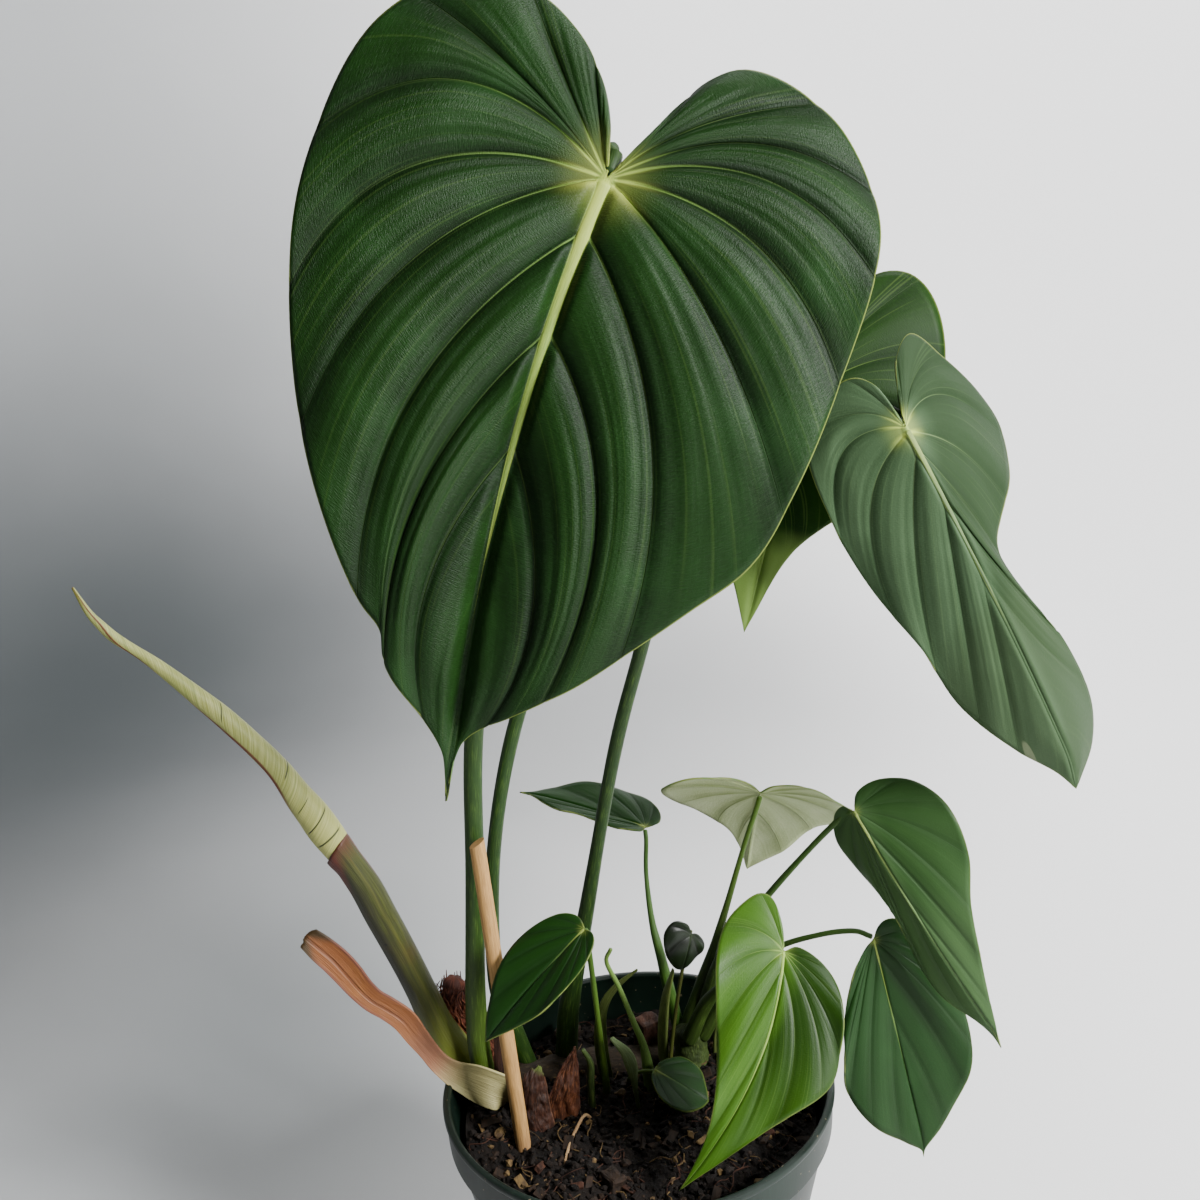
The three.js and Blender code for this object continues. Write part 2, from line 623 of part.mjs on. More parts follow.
const stalkG = {
  path: [[28, 36, 120.5], [40, 33, 158], [58, 29, 184], [76, 23, 208], [87, 18, 222], [90, 14, 226]],
  radii: [1.5, 1.6, 1.4, 1.3, 1.2, 1.2],
};
const stalkH = {
  path: [[23, 29, 120.5], [32, 25, 141], [44, 14, 159], [53, 2, 171], [57.3, -9, 180.4], [58, -12.8, 182.8]],
  radii: [1.5, 1.5, 1.3, 1.2, 1.1, 1.1],
};
const stalkI = {
  path: [[29, 31, 120.5], [44, 29, 147], [60, 24, 163], [77, 17, 172], [90, 13, 175], [96.5, 10.5, 173.5]],
  radii: [1.5, 1.5, 1.3, 1.2, 1.1, 1.1],
};
const stalkJ = {
  path: [[-4, 22, foot + 4], [-4, 20, 108], [-1, 14, 116], [3, 10.6, 119.4], [6.3, 8.6, 120.4]],
  radii: [0.9, 0.8, 0.8, 0.8, 0.8], sides: 6,
};
const stalkK = {
  path: [[13, 26, foot], [15, 27, 116], [19, 28, 140], [24, 28, 164], [26, 27, 172]],
  radii: [1, 0.9, 0.8, 0.8, 0.8], sides: 6,
};
const youngStem = {
  path: [[24, 30, foot - 4], [24, 33, 108], [24, 34, 120]], radii: [4.5, 7, 7], sides: 12, steps: 4,
};
const newLeaf = {
  path: [[-103, 12, 228], [-112, 11, 240], [-128, 9, 263], [-149, 6, 290], [-174, 3, 319], [-189, 0, 340]],
  radii: [4.2, 5, 4.6, 4, 2.8, 0.7], sides: 14, steps: 12, lap: 0.14,
};
const newLeafSheath = {
  path: [
    [-60, 24, 110], [-62.5, 24, 124], [-68, 23.5, 133], [-76, 22, 142], [-84, 19, 156], [-90, 17, 176],
    [-97, 15, 198], [-104, 13, 217], [-109, 12, 234],
  ],
  radii: [4.5, 5.4, 6.4, 6.8, 6.6, 6.4, 6.2, 5.8, 5.6], sides: 14, steps: 13,
};
const bract = {
  path: [
    [-54, 5, 113], [-62, 3, 124], [-69, 3.5, 131], [-77, 4, 137], [-90, 5, 149], [-102, 6, 158],
    [-111, 7, 170], [-118, 8, 181], [-125, 8, 189],
  ],
  radii: [4.4, 6.4, 7, 6.4, 4.8, 4.8, 5.2, 4.8, 2], sides: 12, steps: 14, flat: 0.34,
};
const darkSheathStrip = {
  path: [[-53, 10, 104], [-54.5, 10, 120], [-54.5, 10, 145]],
  radii: [2.2, 2.4, 1.6], sides: 8, steps: 4, flat: 0.5,
};
const driedScale = {
  path: [[-37, -8, 101], [-38, -8, 124], [-39, -6, 144]],
  radii: [5, 4.6, 2.4], sides: 8, steps: 5, flat: 0.3,
};
const driedScaleTriangular = {
  path: [[-30, 5, 101], [-30, 5, 122], [-29, 5, 140]], radii: [7, 5, 0.8], sides: 8, steps: 5, flat: 0.25,
};
const paleScale = {
  path: [[-9, 27, 101], [-12, 26, 122], [-10, 25, 142], [-4, 24, 153], [4, 22, 162]],
  radii: [2.6, 3, 2.6, 1.8, 0.7], sides: 8, steps: 8, flat: 0.45,
};
const thinShoot = {
  path: [[6, 18, foot], [4, 16, 124], [0, 13, 141], [-5, 9, 160], [-9, 6, 173], [-7, 5, 179]],
  radii: [2.2, 2.6, 1.6, 1.1, 1, 0.8], sides: 8, steps: 12,
};
const paleSeedling = {
  path: [[0, 2, 103], [-1, 3, 116], [-3, 4, 131], [-9, 4, 140]],
  radii: [1, 1, 2.6, 1], sides: 8, steps: 6, flat: 0.5,
};
const greenStub = {
  path: [[-20, 6, 101], [-20, 6, 118], [-19, 6, 135]], radii: [2, 2, 1.6], sides: 8, steps: 3,
};
const oliveSheathLeft = {
  path: [[12, 32, foot + 4], [12, 31, 120], [14, 31, 138], [18, 30, 153]], radii: [3.4, 3.6, 3, 0.9],
  sides: 8, steps: 7, flat: 0.4, facing: [-0.9, -0.5, 0],
};
const oliveSheathRight = {
  path: [[35, 37, foot + 4], [36, 37, 118], [40, 38, 134]], radii: [3.4, 3.4, 0.9],
  sides: 8, steps: 6, flat: 0.4, facing: [0.9, -0.5, 0],
};
const rootThread = {
  path: [[-18, 2, 103], [-22, -2, 110], [-26, -10, 109], [-29, -20, 108], [-31, -28, 104]],
  radii: [0.7, 0.6, 0.6, 0.6, 0.6], sides: 6, steps: 10,
};

function makeStalk(name, shape, look, cutters = []) {
  let body = solid(stalk(shape));
  for (const cutter of cutters) {
    body = body.subtract(cutter);
  }
  add(name, surfaceOf(body), look);
  return solid(stalk(shape, gap));
}

function makeStake() {
  const slant = new THREE.BoxGeometry(40, 40, 20);
  slant.rotateY(THREE.MathUtils.degToRad(-28));
  slant.translate(-55, 3, 240);
  return makeStalk("stake", stake, { color: 0xd9b892, roughness: 0.8 }, [solid(slant)]);
}

makePot();

const grownBlades = {
  A: blade("leaf_A_blade", leafA, darkLeaf),
  B: blade("leaf_B_blade", leafB, dullLeaf),
  C: blade("leaf_C_blade", leafC, dullLeaf),
  D: blade("leaf_D_blade", leafD, dullLeaf),
  E: blade("leaf_E_blade", leafE, dullLeaf),
  F: blade("leaf_F_blade", leafF, paleLeaf),
  G: blade("leaf_G_blade", leafG, dullLeaf),
  H: blade("leaf_H_blade", leafH, brightLeaf),
  I: blade("leaf_I_blade", leafI, brightLeaf),
  J: blade("leaf_J_blade", leafJ, darkLeaf),
  K: blade("leaf_K_blade", leafK, driedBrown),
};

const grownRhizome = makeStalk("rhizome", rhizome, { color: 0x4a3a26, roughness: 0.8 });
const barkyStem = { color: 0x55512f, roughness: 0.7 };
const grownYoungStem = makeStalk("young_stem", youngStem, barkyStem, [grownRhizome]);
const grownStake = makeStake();
const grownNewLeaf = makeStalk("new_leaf_rolled", newLeaf, { color: 0xb9c26a, roughness: 0.4 });

const inSoil = [
  grownRhizome,
  grownYoungStem,
  grownStake,
  makeStalk("stem_stub", stemStub, driedBrown, [grownRhizome]),
  makeStalk("leaf_A_stalk", stalkA, stalkGreen, [grownRhizome, grownBlades.A]),
  makeStalk("leaf_B_stalk", stalkB, stalkGreen, [grownRhizome, grownBlades.B]),
  makeStalk("leaf_C_stalk", stalkC, stalkGreen, [grownRhizome, grownBlades.C]),
  makeStalk("leaf_D_stalk", stalkD, youngGreen, [grownBlades.D]),
  makeStalk("leaf_J_stalk", stalkJ, youngGreen, [grownBlades.J]),
  makeStalk("leaf_K_stalk", stalkK, driedBrown, [grownBlades.K]),
  makeStalk("new_leaf_sheath", newLeafSheath, oliveGreen, [grownRhizome, grownNewLeaf]),
  makeStalk("bract", bract, { color: 0xb9683f, roughness: 0.6 }, [grownRhizome]),
  makeStalk("dark_sheath_strip", darkSheathStrip, driedBrown, [grownRhizome]),
  makeStalk("dried_scale", driedScale, driedBrown),
  makeStalk("dried_scale_triangular", driedScaleTriangular, driedBrown),
  makeStalk("pale_scale", paleScale, { color: 0xcfc9a0, roughness: 0.6 }, [grownRhizome]),
  makeStalk("thin_shoot", thinShoot, youngGreen),
  makeStalk("pale_seedling", paleSeedling, { color: 0xbfc98c, roughness: 0.5 }),
  makeStalk("green_stub", greenStub, youngGreen),
  makeStalk("olive_sheath_left", oliveSheathLeft, stalkGreen, [grownYoungStem, grownRhizome]),
  makeStalk("olive_sheath_right", oliveSheathRight, stalkGreen, [grownYoungStem, grownRhizome]),
  makeStalk("root_thread", rootThread, { color: 0xb99a74, roughness: 0.9 }),
];

makeStalk("leaf_E_stalk", stalkE, youngGreen, [grownYoungStem, grownBlades.E]);
makeStalk("leaf_F_stalk", stalkF, youngGreen, [grownYoungStem, grownBlades.F]);
makeStalk("leaf_G_stalk", stalkG, youngGreen, [grownYoungStem, grownBlades.G]);
makeStalk("leaf_H_stalk", stalkH, youngGreen, [grownYoungStem, grownBlades.H]);
makeStalk("leaf_I_stalk", stalkI, youngGreen, [grownYoungStem, grownBlades.I]);

makeSoil(inSoil);

export default plant;
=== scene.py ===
# A potted philodendron: three grown leaves on long stalks, a new leaf still rolled up, and a
# young plant at the foot. Pieces are shaped in millimetres and written out in metres.

import bisect
import math
import random

import bmesh
import bpy
from mathutils import Matrix, Vector, noise


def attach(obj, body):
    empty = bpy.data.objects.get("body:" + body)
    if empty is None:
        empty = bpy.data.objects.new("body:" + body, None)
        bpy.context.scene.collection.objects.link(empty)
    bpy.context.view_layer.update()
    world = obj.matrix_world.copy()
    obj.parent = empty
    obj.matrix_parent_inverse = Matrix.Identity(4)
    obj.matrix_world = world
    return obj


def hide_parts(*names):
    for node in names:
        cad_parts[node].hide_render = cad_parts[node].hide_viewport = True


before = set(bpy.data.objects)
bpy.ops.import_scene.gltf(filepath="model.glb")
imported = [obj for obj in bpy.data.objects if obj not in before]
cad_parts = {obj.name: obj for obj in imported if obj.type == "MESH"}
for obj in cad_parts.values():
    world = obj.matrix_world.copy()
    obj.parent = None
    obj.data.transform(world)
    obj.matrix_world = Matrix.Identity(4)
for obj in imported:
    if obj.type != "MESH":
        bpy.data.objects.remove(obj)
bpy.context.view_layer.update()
metre = 0.001
facingViewer = (0, -1, 0)
chance = random.Random(11)
print("frame loaded")

# Camera, where the photograph was taken from

camera = {
    "eye": (-1.6, -434.5, 434.9), "down": 14.6, "roll": -4, "lens": 37.5, "sensor": 36, "nearest": 10,
}


def makeCamera():
    data = bpy.data.cameras.new("camera")
    data.lens = camera["lens"]
    data.sensor_width = camera["sensor"]
    data.clip_start = camera["nearest"] * metre
    eye = bpy.data.objects.new("camera", data)
    pitch = Matrix.Rotation(math.radians(90 - camera["down"]), 4, "X")
    roll = Matrix.Rotation(math.radians(camera["roll"]), 4, "Z")
    eye.matrix_world = Matrix.Translation(Vector(camera["eye"]) * metre) @ pitch @ roll
    bpy.context.scene.collection.objects.link(eye)
    bpy.context.scene.camera = eye


makeCamera()
print("camera placed")

# Shader helpers


def tint(code):
    # A colour written as on a screen, as the linear values that a shader wants.
    parts = [int(code[i:i + 2], 16) / 255 for i in (0, 2, 4)]
    linear = [c / 12.92 if c <= 0.04045 else ((c + 0.055) / 1.055) ** 2.4 for c in parts]
    return (*linear, 1)


def operators(operation):
    # Two methods for one kind of Math node: with the socket first, and with the socket second.
    def first(self, other):
        return self.math(operation, self, other)

    def second(self, other):
        return self.math(operation, other, self)

    return first, second


class Socket:
    # A node's output. Sums, products and powers written with it add Math nodes.
    def __init__(self, look, output):
        self.look = look
        self.output = output

    def math(self, operation, *values):
        return self.look.node("Math", {"operation": operation}, dict(enumerate(values)))

    __add__, __radd__ = operators("ADD")
    __sub__, __rsub__ = operators("SUBTRACT")
    __mul__, __rmul__ = operators("MULTIPLY")
    __truediv__, __rtruediv__ = operators("DIVIDE")
    __pow__, __rpow__ = operators("POWER")

    def __abs__(self):
        return self.math("ABSOLUTE", self)

    def fraction(self):
        return self.math("FRACT", self)

    def atMost(self, other):
        return self.math("MINIMUM", self, other)

    def atLeast(self, other):
        return self.math("MAXIMUM", self, other)


class Look:
    # A material whose pattern is built up from nodes and ends in one Principled shader.
    def __init__(self, name, **fixed):
        self.material = bpy.data.materials.new(name)
        self.material.use_nodes = True
        self.tree = self.material.node_tree
        self.shader = self.tree.nodes["Principled BSDF"]
        for key, value in fixed.items():
            self.shader.inputs[key.replace("_", " ")].default_value = value

    def node(self, kind, settings=None, values=None, output=0):
        made = self.tree.nodes.new("ShaderNode" + kind)
        for key, value in (settings or {}).items():
            setattr(made, key, value)
        for key, value in (values or {}).items():
            if isinstance(value, Socket):
                self.tree.links.new(value.output, made.inputs[key])
            else:
                made.inputs[key].default_value = value
        return Socket(self, made.outputs[output])

    def axes(self, vector):
        split = self.node("SeparateXYZ", {}, {0: vector})
        return [Socket(self, split.output.node.outputs[i]) for i in range(3)]

    def layer(self, name):
        return self.axes(self.node("UVMap", {"uv_map": name}))[:2]

    def place(self):
        return self.node("TexCoord", {}, {}, "Object")

    def vector(self, x, y, z=0):
        return self.node("CombineXYZ", {}, {0: x, 1: y, 2: z})

    def scaled(self, vector, amounts):
        return self.node("VectorMath", {"operation": "MULTIPLY"}, {0: vector, 1: amounts})

    def noise(self, vector, scale, detail=2, roughness=0.5):
        return self.node("TexNoise", {}, {
            "Vector": vector, "Scale": scale, "Detail": detail, "Roughness": roughness,
        })

    def ease(self, value, low, high):
        # 0 at low and 1 at high, smooth between them, whichever of the two is the larger.
        return self.node("MapRange", {"interpolation_type": "SMOOTHSTEP"}, {
            "Value": value, "From Min": low, "From Max": high,
        })

    def mix(self, factor, first, second):
        return self.node("Mix", {"data_type": "RGBA"}, {0: factor, 6: first, 7: second}, 2)

    def ground(self, factor, first, second):
        # The colour to begin with, from one tone to another.
        self.colour = self.mix(factor, tint(first), tint(second))

    def cover(self, factor, tone):
        # One more tone over the colour so far.
        self.colour = self.mix(factor, self.colour, tint(tone))

    def feed(self, name, value):
        self.tree.links.new(value.output, self.shader.inputs[name])

    def done(self, roughness=None, height=None, depth=0.2, strength=1):
        self.feed("Base Color", self.colour)
        if roughness is not None:
            self.feed("Roughness", roughness)
        if height is not None:
            values = {"Strength": strength, "Distance": depth * metre, "Height": height}
            self.feed("Normal", self.node("Bump", {}, values))
        return self.material


# Shape helpers


def through(points, fraction):
    last = len(points) - 1
    place = min(max(fraction, 0), 1) * last
    i = min(int(place), last - 1)
    x = place - i
    b, c = points[i], points[i + 1]
    a = points[i - 1] if i > 0 else [2 * v - w for v, w in zip(b, c)]
    d = points[i + 2] if i + 2 <= last else [2 * w - v for v, w in zip(b, c)]
    return [
        q + 0.5 * ((r - p) * x + (2 * p - 5 * q + 4 * r - s) * x * x + (3 * q - p - 3 * r + s) * x ** 3)
        for p, q, r, s in zip(a, b, c, d)
    ]


def level(values, fraction):
    # The same smooth course through single numbers, such as the radii of a stalk.
    return through([[value] for value in values], fraction)[0]


def spread(points):
    # The same curve, but with the fraction measured along its length.
    steps = 160
    places = [through(points, i / steps) for i in range(steps + 1)]
    lengths = [0]
    for before, after in zip(places, places[1:]):
        lengths.append(lengths[-1] + math.dist(before, after))

    def at(fraction):
        target = min(max(fraction, 0), 1) * lengths[-1]
        i = min(max(bisect.bisect_left(lengths, target), 1), steps)
        part = (target - lengths[i - 1]) / (lengths[i] - lengths[i - 1])
        return [v + (w - v) * part for v, w in zip(places[i - 1], places[i])]

    at.length = lengths[-1]
    return at


def station(curve, along, facing, reach=0.003):
    # A place on a curve, with the directions along it, to its side and to its front.
    tangent = (Vector(curve(along + reach)) - Vector(curve(along - reach))).normalized()
    front = Vector(facing)
    front = (front - tangent * front.dot(tangent)).normalized()
    return Vector(curve(along)), tangent, tangent.cross(front), front


def onRing(middle, side, front, angle, radius, flat=1):
    return middle + side * (math.cos(angle) * radius) + front * (math.sin(angle) * radius * flat)


def smoothly(value, low, high):
    x = min(max((value - low) / (high - low), 0), 1)
    return x * x * (3 - 2 * x)


def hidden(point, scale=1, seed=0):
    # Smooth noise from -1 to 1 at a point.
    return noise.noise(Vector(point) * scale + Vector((seed, seed * 0.7, -seed)))


def linked(made, kind):
    # The faces or edges at some vertices, each once and always in the same order.
    return list(dict.fromkeys(item for vertex in made for item in getattr(vertex, kind)))


def sheet(bm, columns, rows, placed):
    # A grid whose vertices go where placed(x, y) says, with the layers of UVs that it gives.
    made = bmesh.ops.create_grid(bm, x_segments=columns, y_segments=rows, size=1)["verts"]
    marks = {}
    for vertex in made:
        point, layers = placed(vertex.co.x, vertex.co.y)
        marks[vertex] = layers
        vertex.co = point
    faces = linked(made, "link_faces")
    for name in next(iter(marks.values())):
        layer = bm.loops.layers.uv.get(name) or bm.loops.layers.uv.new(name)
        for face in faces:
            for loop in face.loops:
                loop[layer].uv = marks[loop.vert][name]
    return made, faces


def tube(bm, path, radii, sides, steps, flat=1, facing=facingViewer, shaped=None, caps=(1, 1)):
    # A round or flattened bar along a path, with domed ends. shaped(turn, along) scales it.
    curve = spread(path)
    rounds = 5
    domeDepth = 0.6

    def placed(x, y):
        turn = (x + 1) / 2
        row = (y + 1) / 2 * (steps + 2 * rounds)
        along = min(max((row - rounds) / steps, 0), 1)
        middle, tangent, side, front = station(curve, along, facing)
        radius = level(radii, along)
        beyond = max(rounds - row, row - steps - rounds, 0) / rounds
        swing = beyond * math.pi / 2
        end = caps[0] if row < rounds else caps[1]
        outward = math.copysign(1, row - rounds - steps / 2)
        middle += tangent * (outward * math.sin(swing) * radius * domeDepth * end)
        radius *= math.cos(swing) if beyond < 0.999 else 0
        radius *= shaped(turn, along) if shaped else 1
        point = onRing(middle, side, front, turn * 2 * math.pi, radius, flat)
        return point, {"wrap": (turn, along * curve.length)}

    made, faces = sheet(bm, sides, steps + 2 * rounds, placed)
    bmesh.ops.remove_doubles(bm, verts=made, dist=1e-4)
    faces = [face for face in faces if face.is_valid]
    bmesh.ops.reverse_faces(bm, faces=faces)
    return faces


def asMesh(bm, name):
    mesh = bpy.data.meshes.new(name)
    bm.to_mesh(mesh)
    bm.free()
    return mesh


def join(bm, part):
    # Adds a part made on its own to the whole, and lets go of it.
    mesh = asMesh(part, "part")
    bm.from_mesh(mesh)
    bpy.data.meshes.remove(mesh)


def asObject(bm, name, materials=(), smooth=True):
    bmesh.ops.scale(bm, vec=(metre,) * 3, verts=bm.verts)
    mesh = asMesh(bm, name)
    for material in materials:
        mesh.materials.append(material)
    if smooth:
        mesh.shade_smooth()
    made = bpy.data.objects.new(name, mesh)
    bpy.context.scene.collection.objects.link(made)
    return made


def finished(bm, name, materials, node=None, smooth=True, thickness=0, sharp=None):
    piece = asObject(bm, name, materials, smooth)
    if thickness:
        wall = piece.modifiers.new("wall", "SOLIDIFY")
        wall.thickness = thickness * metre
        wall.offset = 0
        wall.material_offset = min(1, len(materials) - 1)
        wall.material_offset_rim = min(2, len(materials) - 1)
    if sharp:
        piece.data.set_sharp_from_angle(angle=math.radians(sharp))
    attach(piece, "root")
    if node:
        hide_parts(node)
    return piece


def faceOut(bm):
    bmesh.ops.recalc_face_normals(bm, faces=bm.faces)


# Leaf blades, by the veins' courses from the midrib to the margin

sinusShare = 0.04
sinusBend = 0.3
fanEnd = 0.48
fanSweep = 3.6
veinBow = 0.56
veinLead = 0.42
creaseWidth = 0.045
ribDetail = (14, 90)


def halfway(margin, share, start):
    edge = margin(share)
    lead = veinLead * smoothly(share, 0, sinusBend)
    earlier = margin(share - lead * share * (1 - share))
    return [
        0.25 * s + 0.5 * (s + (e - s) * veinBow) + 0.25 * f
        for s, e, f in zip((0, start), earlier, edge)
    ]


def veinsOf(leaf, margins):
    if isinstance(leaf["veins"], int):
        rows = []
        for i in range(leaf["veins"] + 1):
            share = sinusShare + (1 - sinusShare) * i / leaf["veins"]
            start = leaf["length"] * max((share - fanEnd) / (1 - fanEnd), 0) ** fanSweep
            rows.append([start, share, 0, 0, share, 0, 0])
        return rows
    rows = [[0, sinusShare, 0, 0, sinusShare, 0, 0]]
    for start, *sides in leaf["veins"]:
        row = [start]
        for margin, (share, u, v) in zip(margins, sides):
            usual = halfway(margin, share, start)
            row += [share, u - usual[0], v - usual[1]]
        rows.append(row)
    return rows + [[leaf["length"], 1, 0, 0, 1, 0, 0]]


class Blade:
    # Where each place on a leaf blade lies, from how far across it is, -1 to 1, and which vein.
    def __init__(self, leaf):
        self.leaf = leaf
        tip = [0, leaf["length"]]
        self.margins = [spread([[0, 0], *leaf[side], tip]) for side in ("left", "right")]
        self.veins = veinsOf(leaf, self.margins)
        self.bays = len(self.veins) - 1
        self.courses = {}
        toward = Vector(leaf["toward"]).normalized()
        facing = Vector(leaf["facing"])
        facing = (facing - toward * facing.dot(toward)).normalized()
        across = toward.cross(facing)
        self.turned = Matrix((across, toward, facing)).transposed().to_4x4()
        self.turned.translation = Vector(leaf["at"])

    def course(self, right, row):
        key = (right, round(row, 5))
        if key not in self.courses:
            start, *sides = through(self.veins, row / self.bays)
            share, *off = sides[3:] if right else sides[:3]
            start = max(start, 0)
            margin = self.margins[right]
            edge = margin(share)
            passed = halfway(margin, share, start)
            faded = min(row, self.bays - row, 1)
            bow = [p + o * faded - (s + e) / 2 for p, o, s, e in zip(passed, off, (0, start), edge)]
            self.courses[key] = (start, edge, bow)
        return self.courses[key]

    def flat(self, across, row):
        start, edge, bow = self.course(across >= 0, row)
        t = abs(across)
        return [s + (e - s) * t + 4 * b * t * (1 - t) for s, e, b in zip((0, start), edge, bow)]

    def bayWidth(self, across, row):
        bay = min(int(row + 1e-6), self.bays - 1)
        return math.dist(self.flat(across, bay), self.flat(across, bay + 1))

    def swelling(self, across, row):
        leaf = self.leaf
        t = abs(across)
        width = self.bayWidth(across, row)
        bay = min(int(row + 1e-6), self.bays - 1)
        x = min(max(row - bay, 0), 1)
        room = smoothly(width, 2 * leaf["thickness"], 10 * leaf["thickness"])
        full = room * min(width * leaf["pleat"], leaf["deepest"]) * smoothly(1 - t, -0.25, 0.5)
        u, v = self.flat(across, row)
        full *= smoothly(math.hypot(u, min(v, 0)), 0.3 * leaf["ribWidth"], 2 * leaf["ribWidth"])
        hump = (4 * x * (1 - x)) ** leaf.get("valley", 0.7)
        lean = 1 + 0.25 * math.sin(bay * 2.3 + (1 if across < 0 else 0))
        creases = sum(
            depth * math.exp(-(((x - place) / creaseWidth) ** 2))
            for place, depth in ((0.28 * lean, 0.17), (0.53, 0.1), (0.5 + 0.22 * lean, 0.2))
        )
        creases *= smoothly(t, 0.05, 0.3) * (1 - smoothly(t, 0.75, 1))
        wave = math.sin(row / self.bays * leaf["waves"] * 2 * math.pi + (0 if across >= 0 else 2)) * t ** 4
        uneven = hidden((u, v, 3 if across < 0 else 0), 0.045, leaf["seed"]) * t * leaf["deepest"] * 0.22
        fall = leaf["wave"] * wave * math.sin(math.pi * row / self.bays)
        place = v / leaf["length"]
        channel = leaf.get("channel", 0) * smoothly(place, 0.25, 0.55) * smoothly(1 - place, 0.02, 0.15)
        channel *= math.exp(-((u / leaf.get("channelWide", 1)) ** 2))
        return full * (hump - creases) + fall + uneven * smoothly(1 - t, 0, 0.2) - channel

    def ribLift(self, u, v):
        leaf = self.leaf
        width = leaf["ribWidth"] * (1 - 0.8 * max(v, 0) / leaf["length"])
        reach = math.hypot(u, min(v, 0)) / max(width, 0.2)
        ridge = max(1 - reach * reach, 0)
        groove = -0.5 * math.exp(-(((reach - 1.25) / 0.35) ** 2))
        return 0.3 * leaf["rib"] * (1 - max(v, 0) / leaf["length"]) * (ridge + groove)

    def bent(self, across, row, lift=0):
        leaf = self.leaf
        u, v = self.flat(across, row)
        side = math.copysign(1, u) if u else 1
        fold = math.radians(leaf["foldLeft"] if u < 0 else leaf["foldRight"])
        bow = -math.radians(leaf["bow"]) / 100
        slope = fold + bow * abs(u)
        sideways = side * (math.sin(slope) - math.sin(fold)) / bow
        raised = -(math.cos(slope) - math.cos(fold)) / bow
        raised += self.swelling(across, row) + self.ribLift(u, v) + lift
        curl = math.radians(leaf["lobeCurl"] if v < 0 else leaf["curl"]) / 100
        turn = v * curl
        forward = math.sin(turn) / curl
        fallen = (1 - math.cos(turn)) / curl
        sway = leaf["sway"] * (v / 100) ** 2 if v > 0 else 0
        sway += leaf.get("hook", 0) * smoothly(v / leaf["length"], 0.88, 1.1)
        local = Vector((
            sideways + sway,
            forward + raised * math.sin(turn),
            -fallen + raised * math.cos(turn),
        ))
        return self.turned @ local


